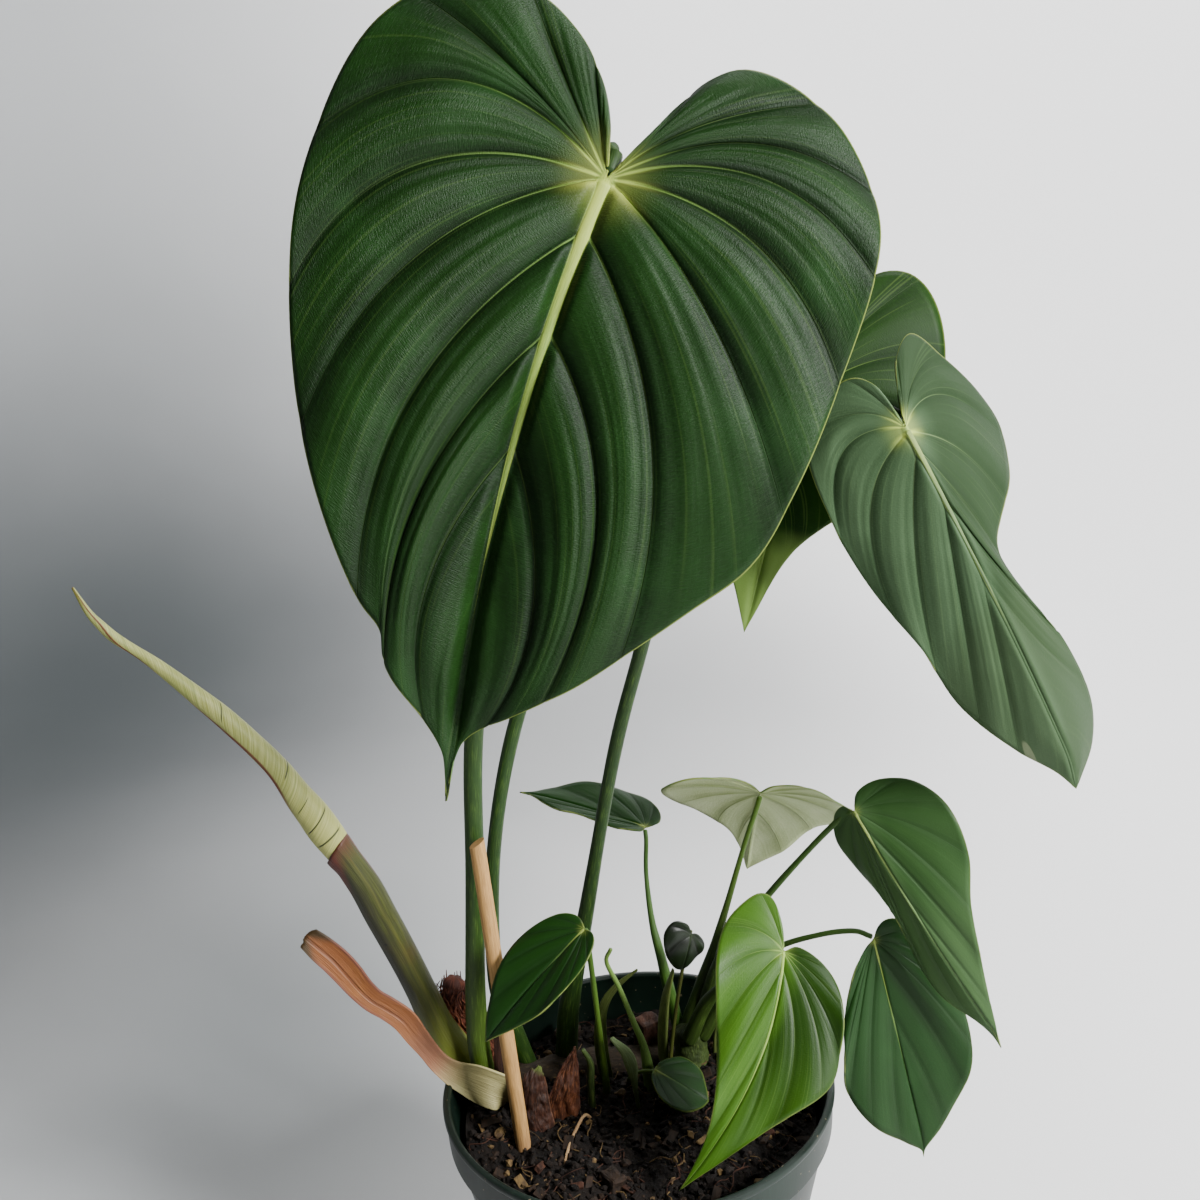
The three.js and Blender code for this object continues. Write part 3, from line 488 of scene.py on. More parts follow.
def leafFace(name, leaf, paint, under=False):
    # Pale veins and midrib on a pleated green, finely lined along the veins. Painted shade darkens the
    # valleys by the veins and, on some blades, one half; spots add a painted sheen on leaf C, and painted
    # shade and a dry streak on leaf B.
    gloss, sheen = (0.36, 0.02) if under else (paint["gloss"], paint["sheen"])
    look = Look(name, Specular_IOR_Level=gloss, Sheen_Weight=sheen, Sheen_Roughness=0.5)
    across, row = look.layer("bays")
    u, v = look.layer("flat")
    width, inward = look.layer("metric")
    t = abs(across)
    part = row.fraction()
    near = part.atMost(1 - part)
    bays = leaf["bays"]
    hump = look.ease(near, 0, 0.42)
    apart = near * width
    guard = look.ease(row, 0.15, 0.5) * look.ease(bays - row, 0.15, 0.5)
    reach = (u * u + v * v) ** 0.5
    streaks = look.noise(look.vector(t * 1.6, row * 11, across * 0.4), 2.2, 4, 0.6)
    grain = look.noise(look.vector(reach * paint["grain"], row * 13, 0), 1, 3, 0.6)
    patches = look.noise(look.vector(u * 0.02, v * 0.02, 0), 1.6, 3, 0.5)
    # Painted shade: the green darkens towards each vein, in the valleys of the pleats.
    valley = look.ease(apart, paint["valleyShadeReach"], 0) * guard
    look.ground(hump, paint["deep"], paint["body"])
    look.cover(look.ease(grain, 0.4, 0.7) * 0.25, paint["light"])
    look.cover(valley * 0.75, paint["deep"])
    look.cover(look.ease(streaks, 0.42, 0.75) * paint["streaks"], paint["light"])
    look.cover(look.ease(patches, 0.45, 0.8) * 0.5, paint["light"])
    look.cover(look.ease(patches, 0.5, 0.15) * 0.5, paint["deep"])
    # Painted shade over one half of the blade, fading out along it.
    shaded = look.ease(across, -0.02, -0.3) * look.ease(v / leaf["length"], paint["shadeEnd"], 0.3)
    look.cover(shaded * paint["shaded"], paint["shade"])
    half = paint["veinWidth"] * (1 - t) ** 1.6 + paint["veinFine"]
    veins = look.ease(apart, half, half * 0.25) * guard * (1 - 0.75 * t)
    minor = look.ease(look.noise(look.vector(t * 0.5, row * 16, 0), 1.5, 1, 0.4), 0.62, 0.72)
    look.cover(minor * paint["minor"], paint["vein"])
    fading = 0.22 + 0.78 * look.ease(reach, paint["veinReach"], paint["veinReach"] * 0.15)
    look.cover(veins * fading * paint["veinShown"], paint["vein"])
    glow = look.ease(reach, paint["glowReach"], 0) ** 2.2 * (0.3 + 0.7 * look.ease(near, 0.3, 0.02))
    look.cover(glow * paint["glowShown"], paint["glow"])
    down = v.atLeast(0) / leaf["length"]
    ribHalf = leaf["ribWidth"] * (1 - down / paint["ribEnd"]).atLeast(0) ** 0.8 + 0.22
    ribAway = (u * u + v.atMost(0) ** 2) ** 0.5
    ribLasts = look.ease(down, paint["ribEnd"] * 1.25, paint["ribEnd"] * 0.6)
    rib = look.ease(ribAway, ribHalf, ribHalf * 0.6) * ribLasts
    ribGrain = look.noise(look.vector(u * 0.8, v * 0.05, 0), 3, 3, 0.6)
    ribColour = look.mix(look.ease(ribGrain, 0.35, 0.7), tint(paint["rib"]), tint(paint["glow"]))
    ribColour = look.mix(look.ease(ribAway, ribHalf * 0.2, ribHalf) * 0.6, ribColour, tint(paint["vein"]))
    look.colour = look.mix(rib * paint["ribShown"], look.colour, ribColour)
    look.cover(look.ease(inward, 0.75, 0.3) * paint["marginShown"], paint["margin"])
    # Spots: a painted sheen on leaf C, painted shade and a dry streak on leaf B.
    for spot in paint.get("spots", ()):
        away = ((u - spot["u"]) ** 2 / spot["wide"] ** 2 + (v - spot["v"]) ** 2 / spot["long"] ** 2) ** 0.5
        ragged = away + (patches - 0.5) * 0.5
        look.cover(look.ease(ragged, 1, 0.75) * spot["shown"], spot["colour"])
    raised = 0.7 if under else -0.5
    height = streaks * 0.3 + grain * 0.7 + look.ease(apart, half * 2, 0) * guard * raised
    rough = paint["rough"] + 0.1 * grain - 0.05 * hump
    if under:
        rough = rough + 0.15
    return look.done(rough, height, paint["relief"], 0.9)


def leafEdge(name, paint):
    look = Look(name, Roughness=0.5)
    mottled = look.noise(look.place(), 220, 2)
    look.ground(look.ease(mottled, 0.4, 0.7), paint["margin"], paint["light"])
    return look.done()


def makeLeaf(letter, leaf, paint, underPaint):
    blade = Blade(leaf)
    leaf["bays"] = blade.bays
    name = f"leaf_{letter}_blade"
    columns, perBay = leaf["detail"]
    rows = blade.bays * perBay
    bm = bmesh.new()

    def placed(x, y):
        across = math.copysign(abs(x) ** 1.5, x)
        row = (y + 1) / 2 * blade.bays
        row = round(row * perBay) / perBay
        u, v = blade.flat(across, row)
        edge = blade.flat(math.copysign(1, across), row)
        return blade.bent(across, row), {
            "bays": (across, row),
            "flat": (u, v),
            "metric": (blade.bayWidth(across, row), math.dist((u, v), edge)),
        }

    made = sheet(bm, columns * 2, rows, placed)[0]
    bmesh.ops.remove_doubles(bm, verts=made, dist=0.02)
    looks = [
        leafFace(f"{name}_face", leaf, paint),
        leafFace(f"{name}_underside", leaf, underPaint, under=True),
        leafEdge(f"{name}_margin", paint),
    ]
    finished(bm, f"leaf_{letter}_lamina", looks, name, thickness=leaf["thickness"])
    for side, look, end in ((-1, underPaint, 0.94), (1, paint, paint["ribEnd"])):
        rib = bmesh.new()
        path, radii = ribCourse(blade, side, end)
        tube(rib, path, radii, *ribDetail, flat=0.8 if side < 0 else 0.42, facing=leaf["facing"])
        word = "midrib" if side < 0 else "midrib_line"
        skin = ribLook(f"leaf_{letter}_{word}", look, leaf["length"] * end if side > 0 else 0)
        finished(rib, f"leaf_{letter}_{word}", [skin])
    print("leaf", letter)


def ribCourse(blade, side, end):
    # Places along the midrib, under the blade for side -1 and on it for 1, and half its width there.
    leaf = blade.leaf
    stations = 16
    path, radii = [], []
    for i in range(stations + 1):
        part = i / stations
        v = leaf["length"] * (0.012 + (end - 0.012) * part)
        low, high = 0.0, float(blade.bays)
        for halving in range(24):
            middle = (low + high) / 2
            if blade.course(True, middle)[0] < v:
                low = middle
            else:
                high = middle
        if side < 0:
            lift = -leaf["thickness"] * 0.45 - leaf["rib"] * 0.2 * (1 - part)
            radii.append(0.25 + leaf["rib"] * 0.62 * (1 - part) ** 0.8)
        else:
            lift = leaf["thickness"] * 0.5 - leaf["rib"] * 0.1
            radii.append(0.12 + leaf["ribWidth"] * 0.85 * (1 - part) ** 0.85)
        path.append(list(blade.bent(0, high, lift)))
    return path, radii


def ribLook(name, paint, reach):
    # Pale, finely streaked along its length, and on the upper face lost in the green at its end.
    look = Look(name, Specular_IOR_Level=0.3)
    turn, along = look.layer("wrap")
    fine = look.noise(look.vector(turn * 40, along * 0.08), 2, 3)
    look.ground(look.ease(fine, 0.3, 0.7), paint["rib"], paint["vein"])
    if reach:
        look.cover(look.ease(along, reach * 0.45, 0) * 0.6, paint["glow"])
        lost = look.ease(along, reach * 0.5, reach) * 0.6 + 1 - paint["ribShown"]
        look.cover(lost.atMost(1), paint["body"])
    return look.done(0.44 + 0.15 * fine, fine, 0.1)


# Paints: colours as on a screen, widths and reaches in millimetres, and shares from 0 to 1

darkPaint = {
    "deep": "081a04", "body": "112b08", "light": "1d3f16", "vein": "62813a", "rib": "93a845",
    "glow": "bcc85c", "margin": "74823c", "rough": 0.42, "gloss": 0.15, "sheen": 0.01,
    "veinWidth": 0.9, "veinFine": 0.16, "veinShown": 0.9, "veinReach": 85,
    # shaded, shadeEnd and shade set painted shade over one half of a blade.
    "shaded": 0, "shadeEnd": 1, "shade": "0c2404",
    # valleyShadeReach: how far the painted shade in the valleys reaches from a vein.
    "grain": 2.4, "relief": 0.46, "valleyShadeReach": 2.6, "streaks": 0.22, "minor": 0.08,
    "glowReach": 26, "glowShown": 0.85, "ribShown": 1, "ribEnd": 0.62, "marginShown": 0.8,
}
darkUnder = {
    **darkPaint, "deep": "3c5a2c", "body": "4b6a38", "light": "5b7a46", "vein": "7a934f", "rib": "8a9b55",
    "glow": "93a55a", "minor": 0.2, "glowShown": 0.4, "ribEnd": 0.95, "rough": 0.5,
}
dullPaint = {
    **darkPaint, "deep": "2f442a", "body": "40563a", "light": "50684a", "vein": "7a9260",
    "rib": "8ba85c", "glow": "c3d662", "rough": 0.52, "gloss": 0.1, "sheen": 0, "veinShown": 0.5,
    "veinWidth": 0.4, "glowReach": 13, "veinReach": 60, "valleyShadeReach": 0.8, "relief": 0.15,
    "glowShown": 1, "ribShown": 0.5, "ribEnd": 0.45, "streaks": 0.12,
    # Painted shade over one half of the blade.
    "shaded": 0.8, "shade": "182c10", "shadeEnd": 2.4,
    "spots": [
        # The first spot is painted shade over the lower blade, the second a narrow pale dry streak.
        {"u": -4, "v": 122, "wide": 46, "long": 60, "shown": 0.55, "colour": "34462b"},
        {"u": 12, "v": 132, "wide": 1.6, "long": 9, "shown": 0.4, "colour": "8a9070"},
    ],
}
brightPaint = {
    **darkPaint, "deep": "2c4c0b", "body": "365a10", "light": "456a1b", "vein": "7f9f4a",
    "rib": "98b356", "glow": "a4bf56", "rough": 0.4, "gloss": 0.24, "veinWidth": 0.3,
    "veinFine": 0.12, "marginShown": 0.4, "streaks": 0.2, "veinShown": 0.45, "glowReach": 8,
    "veinReach": 60, "valleyShadeReach": 0.5, "relief": 0.12, "glowShown": 0.5, "ribShown": 0.9,
    "ribEnd": 0.95, "minor": 0.1,
}
smallDarkPaint = {
    **darkPaint, "deep": "0e2707", "body": "122f09", "light": "1b4011", "vein": "2f4f20",
    "rib": "5c7a36", "marginShown": 0.3, "streaks": 0.15, "veinWidth": 0.2, "veinFine": 0.1,
    "veinShown": 0.2, "valleyShadeReach": 0.6, "relief": 0.12, "glowReach": 5, "glowShown": 0.4,
    "ribShown": 0.6, "ribEnd": 0.9, "rough": 0.42, "gloss": 0.15, "minor": 0.06,
}
smallUnder = {**darkUnder, "ribEnd": 1, "veinWidth": 0.4}
paleUnder = {
    **darkUnder, "deep": "7f8c58", "body": "98a473", "light": "c2c9a2", "vein": "6c7d44",
    "rib": "a8b57c", "veinWidth": 0.6, "ribEnd": 1, "minor": 0.2, "marginShown": 0.3,
}

# Blades: margins from the sinus to the tip, in millimetres across and along the blade. A vein is
# where it leaves the midrib, then for each side its share of the margin and a place that it passes.

leafA = {
    "at": (10, -12, 464), "toward": (-0.46, -0.23, -0.86), "facing": (0.05, -0.97, 0.24), "length": 213,
    "sway": -7, "foldLeft": 8, "foldRight": 8, "bow": 14, "curl": 8, "lobeCurl": 25, "pleat": 0.15,
    "deepest": 4.2, "waves": 5, "wave": 2, "rib": 1.6, "ribWidth": 2.8, "thickness": 0.85,
    "valley": 0.62, "detail": (56, 18), "seed": 3, "channel": 5.5, "channelWide": 15,
    "veins": [
        (0, (0.1, -9.8, -21.5), (0.1, 12, -20)), (0, (0.213, -22, -28), (0.183, 25, -23)),
        (0, (0.298, -37, -28), (0.283, 40, -18)), (0, (0.37, -46, -19), (0.429, 54, -8)),
        (0, (0.459, -52, 1), (0.559, 56, 21)), (0, (0.574, -50, 30), (0.669, 46, 46)),
        (18, (0.767, -44, 73), (0.81, 35, 86)), (52, (0.85, -33, 100), (0.87, 25, 114)),
        (90, (0.915, -20, 136), (0.925, 17, 143)),
    ],
    "left": [
        (-5, -12), (-8.5, -21), (-12, -31), (-18, -43), (-28, -51), (-45, -51), (-65, -44), (-83, -28),
        (-92, -4), (-95, 30), (-93, 66), (-87, 94), (-71, 117), (-46, 148), (-20, 174), (-3, 192),
    ],
    "right": [
        (6, -16), (15, -29), (27, -39), (44, -45), (64, -41), (82, -24), (90, 0), (89, 40), (81, 78),
        (66, 115), (42, 153), (30, 164), (26, 175), (12, 188), (3, 198),
    ],
}
makeLeaf("A", leafA, darkPaint, darkUnder)

leafB = {
    "at": (103, -22, 379), "toward": (0.42, -0.2, -0.88), "facing": (0.14, -0.95, 0.28), "length": 151,
    "sway": -4, "foldLeft": -30, "foldRight": -28, "bow": 20, "curl": 18, "lobeCurl": 25, "pleat": 0.075,
    "deepest": 1.7, "hook": 4, "waves": 4, "wave": 1.5, "rib": 0.9, "ribWidth": 1, "thickness": 0.85,
    "detail": (36, 16), "seed": 8,
    "veins": [
        (0, (0.1, -7, -11), (0.12, 3.5, -13)), (0, (0.216, -19, -14), (0.23, 12, -12)),
        (0, (0.386, -30, -3), (0.414, 23, -2)), (2, (0.5, -22, 17), (0.564, 23, 20)),
        (8, (0.59, -9, 32), (0.68, 17, 42)), (26, (0.74, -10, 60), (0.8, 12, 68)),
        (54, (0.84, -12, 90), (0.88, 9, 98)),
    ],
    "left": [
        (-6, -12), (-16, -23), (-31, -29), (-42, -16), (-55, 3), (-59, 20), (-46, 35), (-25, 46),
        (-15, 56), (-18, 76), (-27, 100), (-30, 126), (-20, 144), (-6, 149),
    ],
    "right": [
        (1, -9), (3, -19), (10, -24), (24, -20), (34, -6), (37, 20), (35, 46), (30, 76), (26, 104),
        (16, 127), (5, 142),
    ],
}
makeLeaf("B", leafB, dullPaint, darkUnder)

leafC = {
    "at": (77, 28, 385), "toward": (-0.3, -0.3, -0.9), "facing": (0.08, -0.95, 0.29), "length": 88,
    "sway": 0, "foldLeft": 5, "foldRight": 5, "bow": 15, "curl": 5, "lobeCurl": 20, "veins": 7,
    "pleat": 0.05, "deepest": 1.2, "waves": 3, "wave": 1.5, "rib": 0.8, "ribWidth": 1, "thickness": 0.85,
    "detail": (26, 14), "seed": 5,
    "left": [
        (-4, -22), (-10, -44), (-20, -56), (-33, -57), (-44, -45), (-51, -24), (-51, 4), (-40, 25),
        (-20, 43), (-8, 60),
    ],
    "right": [(3, -18), (9, -38), (21, -49), (36, -44), (47, -22), (47, 6), (34, 34), (18, 56), (8, 72)],
}
youngPaint = {
    **brightPaint, "deep": "0c2403", "body": "142f04", "light": "1f3f08", "gloss": 0.1, "rough": 0.5,
    # The spot is a painted sheen: paler green over the lower blade to its tip.
    "spots": [{"u": 0, "v": 92, "wide": 70, "long": 46, "shown": 0.8, "colour": "66803c"}],
}
makeLeaf("C", leafC, youngPaint, darkUnder)

smallLeaf = {
    "sway": 0, "bow": 20, "curl": 20, "lobeCurl": 10, "pleat": 0.05, "deepest": 0.8, "waves": 2,
    "wave": 1.2, "ribWidth": 0.4, "thickness": 0.7, "veins": 7,
}
leafD = {
    **smallLeaf, "at": (-16, -10, 197), "toward": (-0.76, -0.26, -0.59), "facing": (-0.29, -0.68, 0.68),
    "length": 57, "sway": -1, "foldLeft": 12, "foldRight": 12, "curl": 30, "veins": 5, "deepest": 0.6,
    "wave": 0.8, "rib": 0.3, "ribWidth": 0.45, "detail": (20, 12), "seed": 12,
    "left": [(-5, -1), (-9, 3), (-12, 14), (-12, 29), (-7, 43)],
    "right": [(6, -1), (12, 5), (16, 19), (14, 33), (7, 48)],
}
makeLeaf("D", leafD, {**smallDarkPaint, "ribEnd": 0.45, "ribShown": 0.8}, smallUnder)

leafE = {
    **smallLeaf, "at": (11, 62, 203), "toward": (-0.82, 0.5, 0.16), "facing": (0.1, -0.16, 1),
    "length": 62, "sway": -12, "foldLeft": 10, "foldRight": 10, "curl": 4, "veins": 5, "deepest": 0.6,
    "wave": 1, "rib": 0.3, "ribWidth": 0.45, "detail": (20, 12), "seed": 15,
    "left": [(-5, 0), (-8, 8), (-9, 20), (-9, 34), (-5, 47), (-1.2, 56)],
    "right": [(6, -4), (13, 1), (18, 12), (18, 27), (15, 40), (7, 51), (1.6, 57)],
}
makeLeaf("E", leafE, {**smallDarkPaint, "ribEnd": 0.3, "ribShown": 0.5}, smallUnder)

leafF = {
    **smallLeaf, "at": (59, 45, 223), "toward": (-0.04, 0.67, -0.74), "facing": (0, 0.74, 0.67),
    "length": 66, "foldLeft": 5, "foldRight": 5, "bow": 15, "veins": 6, "pleat": 0.09, "deepest": 1.2,
    "rib": 0.4, "ribWidth": 0.8, "detail": (22, 12), "seed": 18,
    "left": [(-6, -8), (-16, -14), (-31, -15), (-41, -5), (-37, 7), (-24, 18), (-13, 29), (-6, 44)],
    "right": [(5, -4), (17, 0), (31, 11), (42, 25), (38, 36), (27, 40), (17, 53), (6, 62)],
}
makeLeaf("F", leafF, {**smallDarkPaint, "light": "5a7a34"}, paleUnder)

leafG = {
    **smallLeaf, "at": (91, 12, 227), "toward": (0.4, -0.48, -0.78), "facing": (-0.24, -0.88, 0.41),
    "length": 110, "sway": -3, "foldLeft": 6, "foldRight": -44, "bow": 25, "curl": 30, "lobeCurl": 15,
    "hook": 3, "waves": 3, "rib": 0.5, "ribWidth": 0.5, "detail": (26, 12), "seed": 21,
    "left": [
        (-5, -6), (-15, -6), (-26, 1), (-32, 15), (-29, 34), (-19, 52), (-11, 73), (-4.5, 91),
        (-1.1, 102),
    ],
    "right": [
        (4, -4), (12, -2), (18, 7), (16, 20), (12, 34), (12, 50), (15, 68), (14, 84), (5, 97),
        (1.2, 104),
    ],
}
greyPaint = {
    **smallDarkPaint, "deep": "304826", "body": "39542d", "light": "46633a", "vein": "587a46",
    # Painted shade over one half of the blade, near its foot.
    "rib": "7d9a58", "rough": 0.46, "shaded": 0.6, "shadeEnd": 0.6, "shade": "16350a",
}
makeLeaf("G", leafG, greyPaint, smallUnder)

leafH = {
    **smallLeaf, "at": (58, -14, 184), "toward": (-0.17, -0.61, -0.77), "facing": (0.01, -0.78, 0.62),
    "length": 87, "sway": 42, "foldLeft": 6, "foldRight": 6, "bow": 15, "lobeCurl": 20, "pleat": 0.045,
    "waves": 3, "wave": 2, "rib": 0.5, "ribWidth": 0.5, "detail": (28, 14), "seed": 24,
    "left": [(-6, -2), (-16, 4), (-23, 15), (-27, 32), (-28, 46), (-18, 58), (-9, 71), (-2.6, 81)],
    "right": [(1, -9), (5, -19), (12, -20), (22, -9), (25, 6), (21, 25), (13, 46), (5.5, 65), (1.6, 79)],
}
# Leaf H has painted shade over one half of its blade.
makeLeaf("H", leafH, {**brightPaint, "shaded": 0.9, "shade": "163002", "shadeEnd": 0.95}, smallUnder)

leafI = {
    **smallLeaf, "at": (97, 9, 173), "toward": (0.17, -0.26, -0.95), "facing": (0.15, -0.95, 0.28),
    "length": 93, "sway": -3, "hook": 2, "foldLeft": 10, "foldRight": 10, "curl": 12, "lobeCurl": 15,
    "waves": 3, "wave": 1.6, "rib": 0.4, "detail": (26, 12), "seed": 27,
    "left": [
        (-5, -6), (-12, -5), (-20, 6), (-27, 24), (-29, 44), (-24, 62), (-13, 77), (-3.5, 86),
        (-0.9, 89),
    ],
    "right": [(5, 3), (12, 10), (19, 24), (25, 42), (26, 55), (20, 70), (8, 83), (1.2, 89)],
}
greenPaint = {**smallDarkPaint, "deep": "0f2908", "body": "15320e", "light": "1f4018", "rib": "6f8e40"}
makeLeaf("I", leafI, greenPaint, smallUnder)

leafJ = {
    **smallLeaf, "at": (7, 8, 121.5), "toward": (0.83, -0.25, -0.44), "facing": (0.39, -0.37, 0.84),
    "length": 25, "foldLeft": 5, "foldRight": 5, "bow": 10, "lobeCurl": 5, "veins": 4, "pleat": 0.07,
    "deepest": 0.4, "waves": 1, "wave": 0.4, "rib": 0.2, "detail": (14, 10), "seed": 30,
    "left": [(-6, 2), (-12, 9), (-11, 17), (-5, 22)],
    "right": [(6, 1), (12, 8), (11, 17), (5, 23)],
}
makeLeaf("J", leafJ, {**smallDarkPaint, "ribShown": 0.4}, smallUnder)

leafK = {
    **smallLeaf, "at": (26, 26, 171), "toward": (-0.25, -0.3, -0.9), "facing": (0.1, -0.9, 0.3),
    "length": 17, "foldLeft": -30, "foldRight": 25, "bow": 160, "curl": 240, "lobeCurl": 120, "veins": 3,
    "pleat": 0.1, "rib": 0.2, "detail": (14, 12), "seed": 33,
    "left": [(-4, 0), (-9, 5), (-8, 11), (-3, 15)],
    "right": [(3, -4), (9, -4), (12, 2), (9, 9), (4, 15)],
}
witheredPaint = {
    **smallDarkPaint, "deep": "060a03", "body": "0f1c08", "light": "1d2e10", "vein": "1d2a10",
    "rib": "2a3a16", "glow": "2a3a16", "margin": "0c0d06", "rough": 0.35, "gloss": 0.4,
}
makeLeaf("K", leafK, witheredPaint, witheredPaint)

# Leaf stalks


def stalkLook(name, low, high, streak, rough=0.45, specks="1c2c0c"):
    # Green with fine pale lines along it, from one tone at its foot to another at its top.
    look = Look(name, Specular_IOR_Level=0.25)
    turn, along = look.layer("wrap")
    lines = look.noise(look.vector(turn * 24, along * 0.05), 2.4, 3, 0.6)
    clouds = look.noise(look.place(), 60, 3)
    dots = look.noise(look.place(), 900, 1)
    look.ground(look.ease(along, 10, 110), low, high)
    look.cover(look.ease(lines, 0.5, 0.75) * 0.6, streak)
    look.cover(look.ease(clouds, 0.45, 0.75) * 0.3, specks)
    look.cover(look.ease(dots, 0.68, 0.76) * 0.4, specks)
    return look.done(rough + 0.12 * lines, lines + 0.4 * clouds, 0.14)


stalks = {
    "A": {
        "path": [
            (-58, 14, 104), (-63, 14, 126), (-63, 15, 155), (-58, 13, 210), (-53, 9, 267), (-42, 4, 324),
            (-25, 3, 384), (-7, 4, 440), (6, 2, 469), (13, -4, 473), (11, -9.4, 466.4),
        ],
        "radii": [4.6, 4.4, 3.9, 3.7, 3.6, 3.4, 3.2, 3, 2.9, 2.9, 3], "low": "33450f", "high": "1c360c",
    },
    "B": {
        "path": [
            (-31, 38, 104), (-29, 36, 118), (-26, 34, 140), (-17, 30, 179), (-1, 22, 251), (11, 15, 293),
            (24, 6, 334), (42, -2, 368), (67, -6, 386), (90, -9, 388), (102, -17, 382),
        ],
        "radii": [4.6, 4.4, 3.4, 2.8, 2.7, 2.7, 2.7, 2.6, 2.5, 2.4, 2.4], "low": "182d0a", "high": "162d0a",
    },
    "C": {
        "path": [
            (-44, 33, 104), (-50, 33, 126), (-56, 31, 155), (-52, 32, 210), (-39, 36, 263),
            (-18, 40, 308), (17, 44, 357), (50, 44, 390), (70, 40, 398), (79, 32, 387),
        ],
        "radii": [4, 3.6, 3, 2.9, 2.9, 2.8, 2.7, 2.5, 2.4, 2.3], "low": "203a0d", "high": "18320b",
    },
    "D": {
        "path": [
            (-13, 14, 93), (-13, 12, 116), (-14, 7, 145), (-15, 0, 176), (-15.6, -7, 191),
            (-15.7, -9.1, 195.9),
        ],
        "radii": [1.6, 1.5, 1.2, 1.1, 1.1, 1.1], "low": "48601e", "high": "38561a",
    },
    "E": {
        "path": [
            (19, 40, 120.5), (14, 43, 150), (11, 48, 166), (10, 56, 184), (11, 60, 197.5), (10.9, 62, 201.5),
        ],
        "radii": [2.6, 2.5, 2, 1.3, 1, 1], "low": "2c4a12", "high": "304e16",
    },
    "F": {
        "path": [
            (23, 38, 120.5), (34, 39, 150), (43, 41, 176), (51, 43, 200), (57, 43, 217), (58.6, 43.6, 221.4),
        ],
        "radii": [3.4, 3, 1.9, 1.3, 1.1, 1.1], "low": "25350f", "high": "4c6a20",
    },
    "G": {
        "path": [(28, 36, 120.5), (40, 33, 158), (58, 29, 184), (76, 23, 208), (87, 18, 222), (90, 14, 226)],
        "radii": [3.8, 3.2, 1.9, 1.4, 1.2, 1.2], "low": "202e0e", "high": "2e4c14",
    },
    "H": {
        "path": [
            (23, 29, 120.5), (32, 25, 141), (44, 14, 159), (53, 2, 171), (57.3, -9, 180.4),
            (58, -12.8, 182.8),
        ],
        "radii": [3.4, 3, 1.9, 1.3, 1.1, 1.1], "low": "25350f", "high": "4c6a20",
    },
    "I": {
        "path": [
            (29, 31, 120.5), (44, 29, 147), (60, 24, 163), (77, 17, 172), (90, 13, 175), (96.5, 10.5, 173.5),
        ],
        "radii": [3.2, 2.4, 1.5, 1.2, 1.1, 1.1], "low": "25350f", "high": "2e4c14",
    },
    "J": {
        "path": [(-4, 22, 97), (-4, 20, 108), (-1, 14, 116), (3, 10.6, 119.4), (6.3, 8.6, 120.4)],
        "radii": [0.9, 0.8, 0.8, 0.8, 0.8], "low": "48601e", "high": "38561a",
    },
    "K": {
        "path": [(13, 26, 93), (15, 27, 116), (19, 28, 140), (24, 28, 164), (26, 27, 172)],
        "radii": [1, 0.9, 0.8, 0.8, 0.8], "low": "3f4018", "high": "2e3012",
    },
}


def ribbed(turn, along):
    return 1 + 0.012 * math.sin(turn * 2 * math.pi * 9 + along * 4) + 0.02 * math.sin(along * 31)


stalkSides = 28
stalkSteps = {"long": 120, "short": 60}
stalkStreak = "56722a"
for letter, stalk in stalks.items():
    name = f"leaf_{letter}_stalk"
    steps = stalkSteps["long" if letter in "ABC" else "short"]
    bm = bmesh.new()
    tube(bm, stalk["path"], stalk["radii"], stalkSides, steps, shaped=ribbed)
    skin = stalkLook(name, stalk["low"], stalk["high"], stalkStreak)
    finished(bm, f"leaf_{letter}_petiole", [skin], name)
print("stalks")

# Pot: spun, with a band below its rim and holes in its floor

pot = {
    "height": 125, "rim": 77.5, "band": 16, "step": 3.4, "lip": 1.2, "base": 50, "wall": 1.6,
    "floor": 2, "holes": 6, "holeRadius": 5, "holeSides": 28, "ring": 36, "drill": 12, "sides": 144,
}
soilTop = pot["height"] - 18
bandFoot = pot["height"] - pot["band"]


def potRadius(height):
    return pot["base"] + (pot["rim"] - pot["step"] - pot["base"]) * height / bandFoot


def spunProfile(bm, profile, sides):
    points = [bm.verts.new((x, 0, z)) for x, z in profile]
    edges = [bm.edges.new(pair) for pair in zip(points, points[1:])]
    bmesh.ops.spin(
        bm, geom=[*points, *edges], cent=(0, 0, 0), axis=(0, 0, 1), angle=2 * math.pi, steps=sides,
        use_merge=True,
    )
    bmesh.ops.remove_doubles(bm, verts=bm.verts, dist=1e-3)


def potLook():
    look = Look("pot_plastic", Specular_IOR_Level=0.3)
    place = look.place()
    clouds = look.noise(place, 18, 4)
    scuffs = look.noise(look.scaled(place, (1, 1, 0.12)), 240, 3, 0.7)
    specks = look.noise(place, 620, 1)
    look.ground(look.ease(clouds, 0.35, 0.7), "06130c", "0b1e15")
    look.cover(look.ease(scuffs, 0.6, 0.72) * 0.35, "1a2c22")
    look.cover(look.ease(specks, 0.74, 0.77) * 0.6, "8a7c64")
    return look.done(0.34 + 0.2 * clouds, scuffs * 0.5 + clouds * 0.3, 0.12)


def makeDrills():
    bm = bmesh.new()
    for i in range(pot["holes"]):
        turn = i / pot["holes"] * 2 * math.pi
        place = (math.cos(turn) * pot["ring"], math.sin(turn) * pot["ring"], 0)
        bmesh.ops.create_cone(
            bm, cap_ends=True, segments=pot["holeSides"], radius1=pot["holeRadius"],
            radius2=pot["holeRadius"], depth=pot["drill"], matrix=Matrix.Translation(place),
        )
    return asObject(bm, "drills", smooth=False)


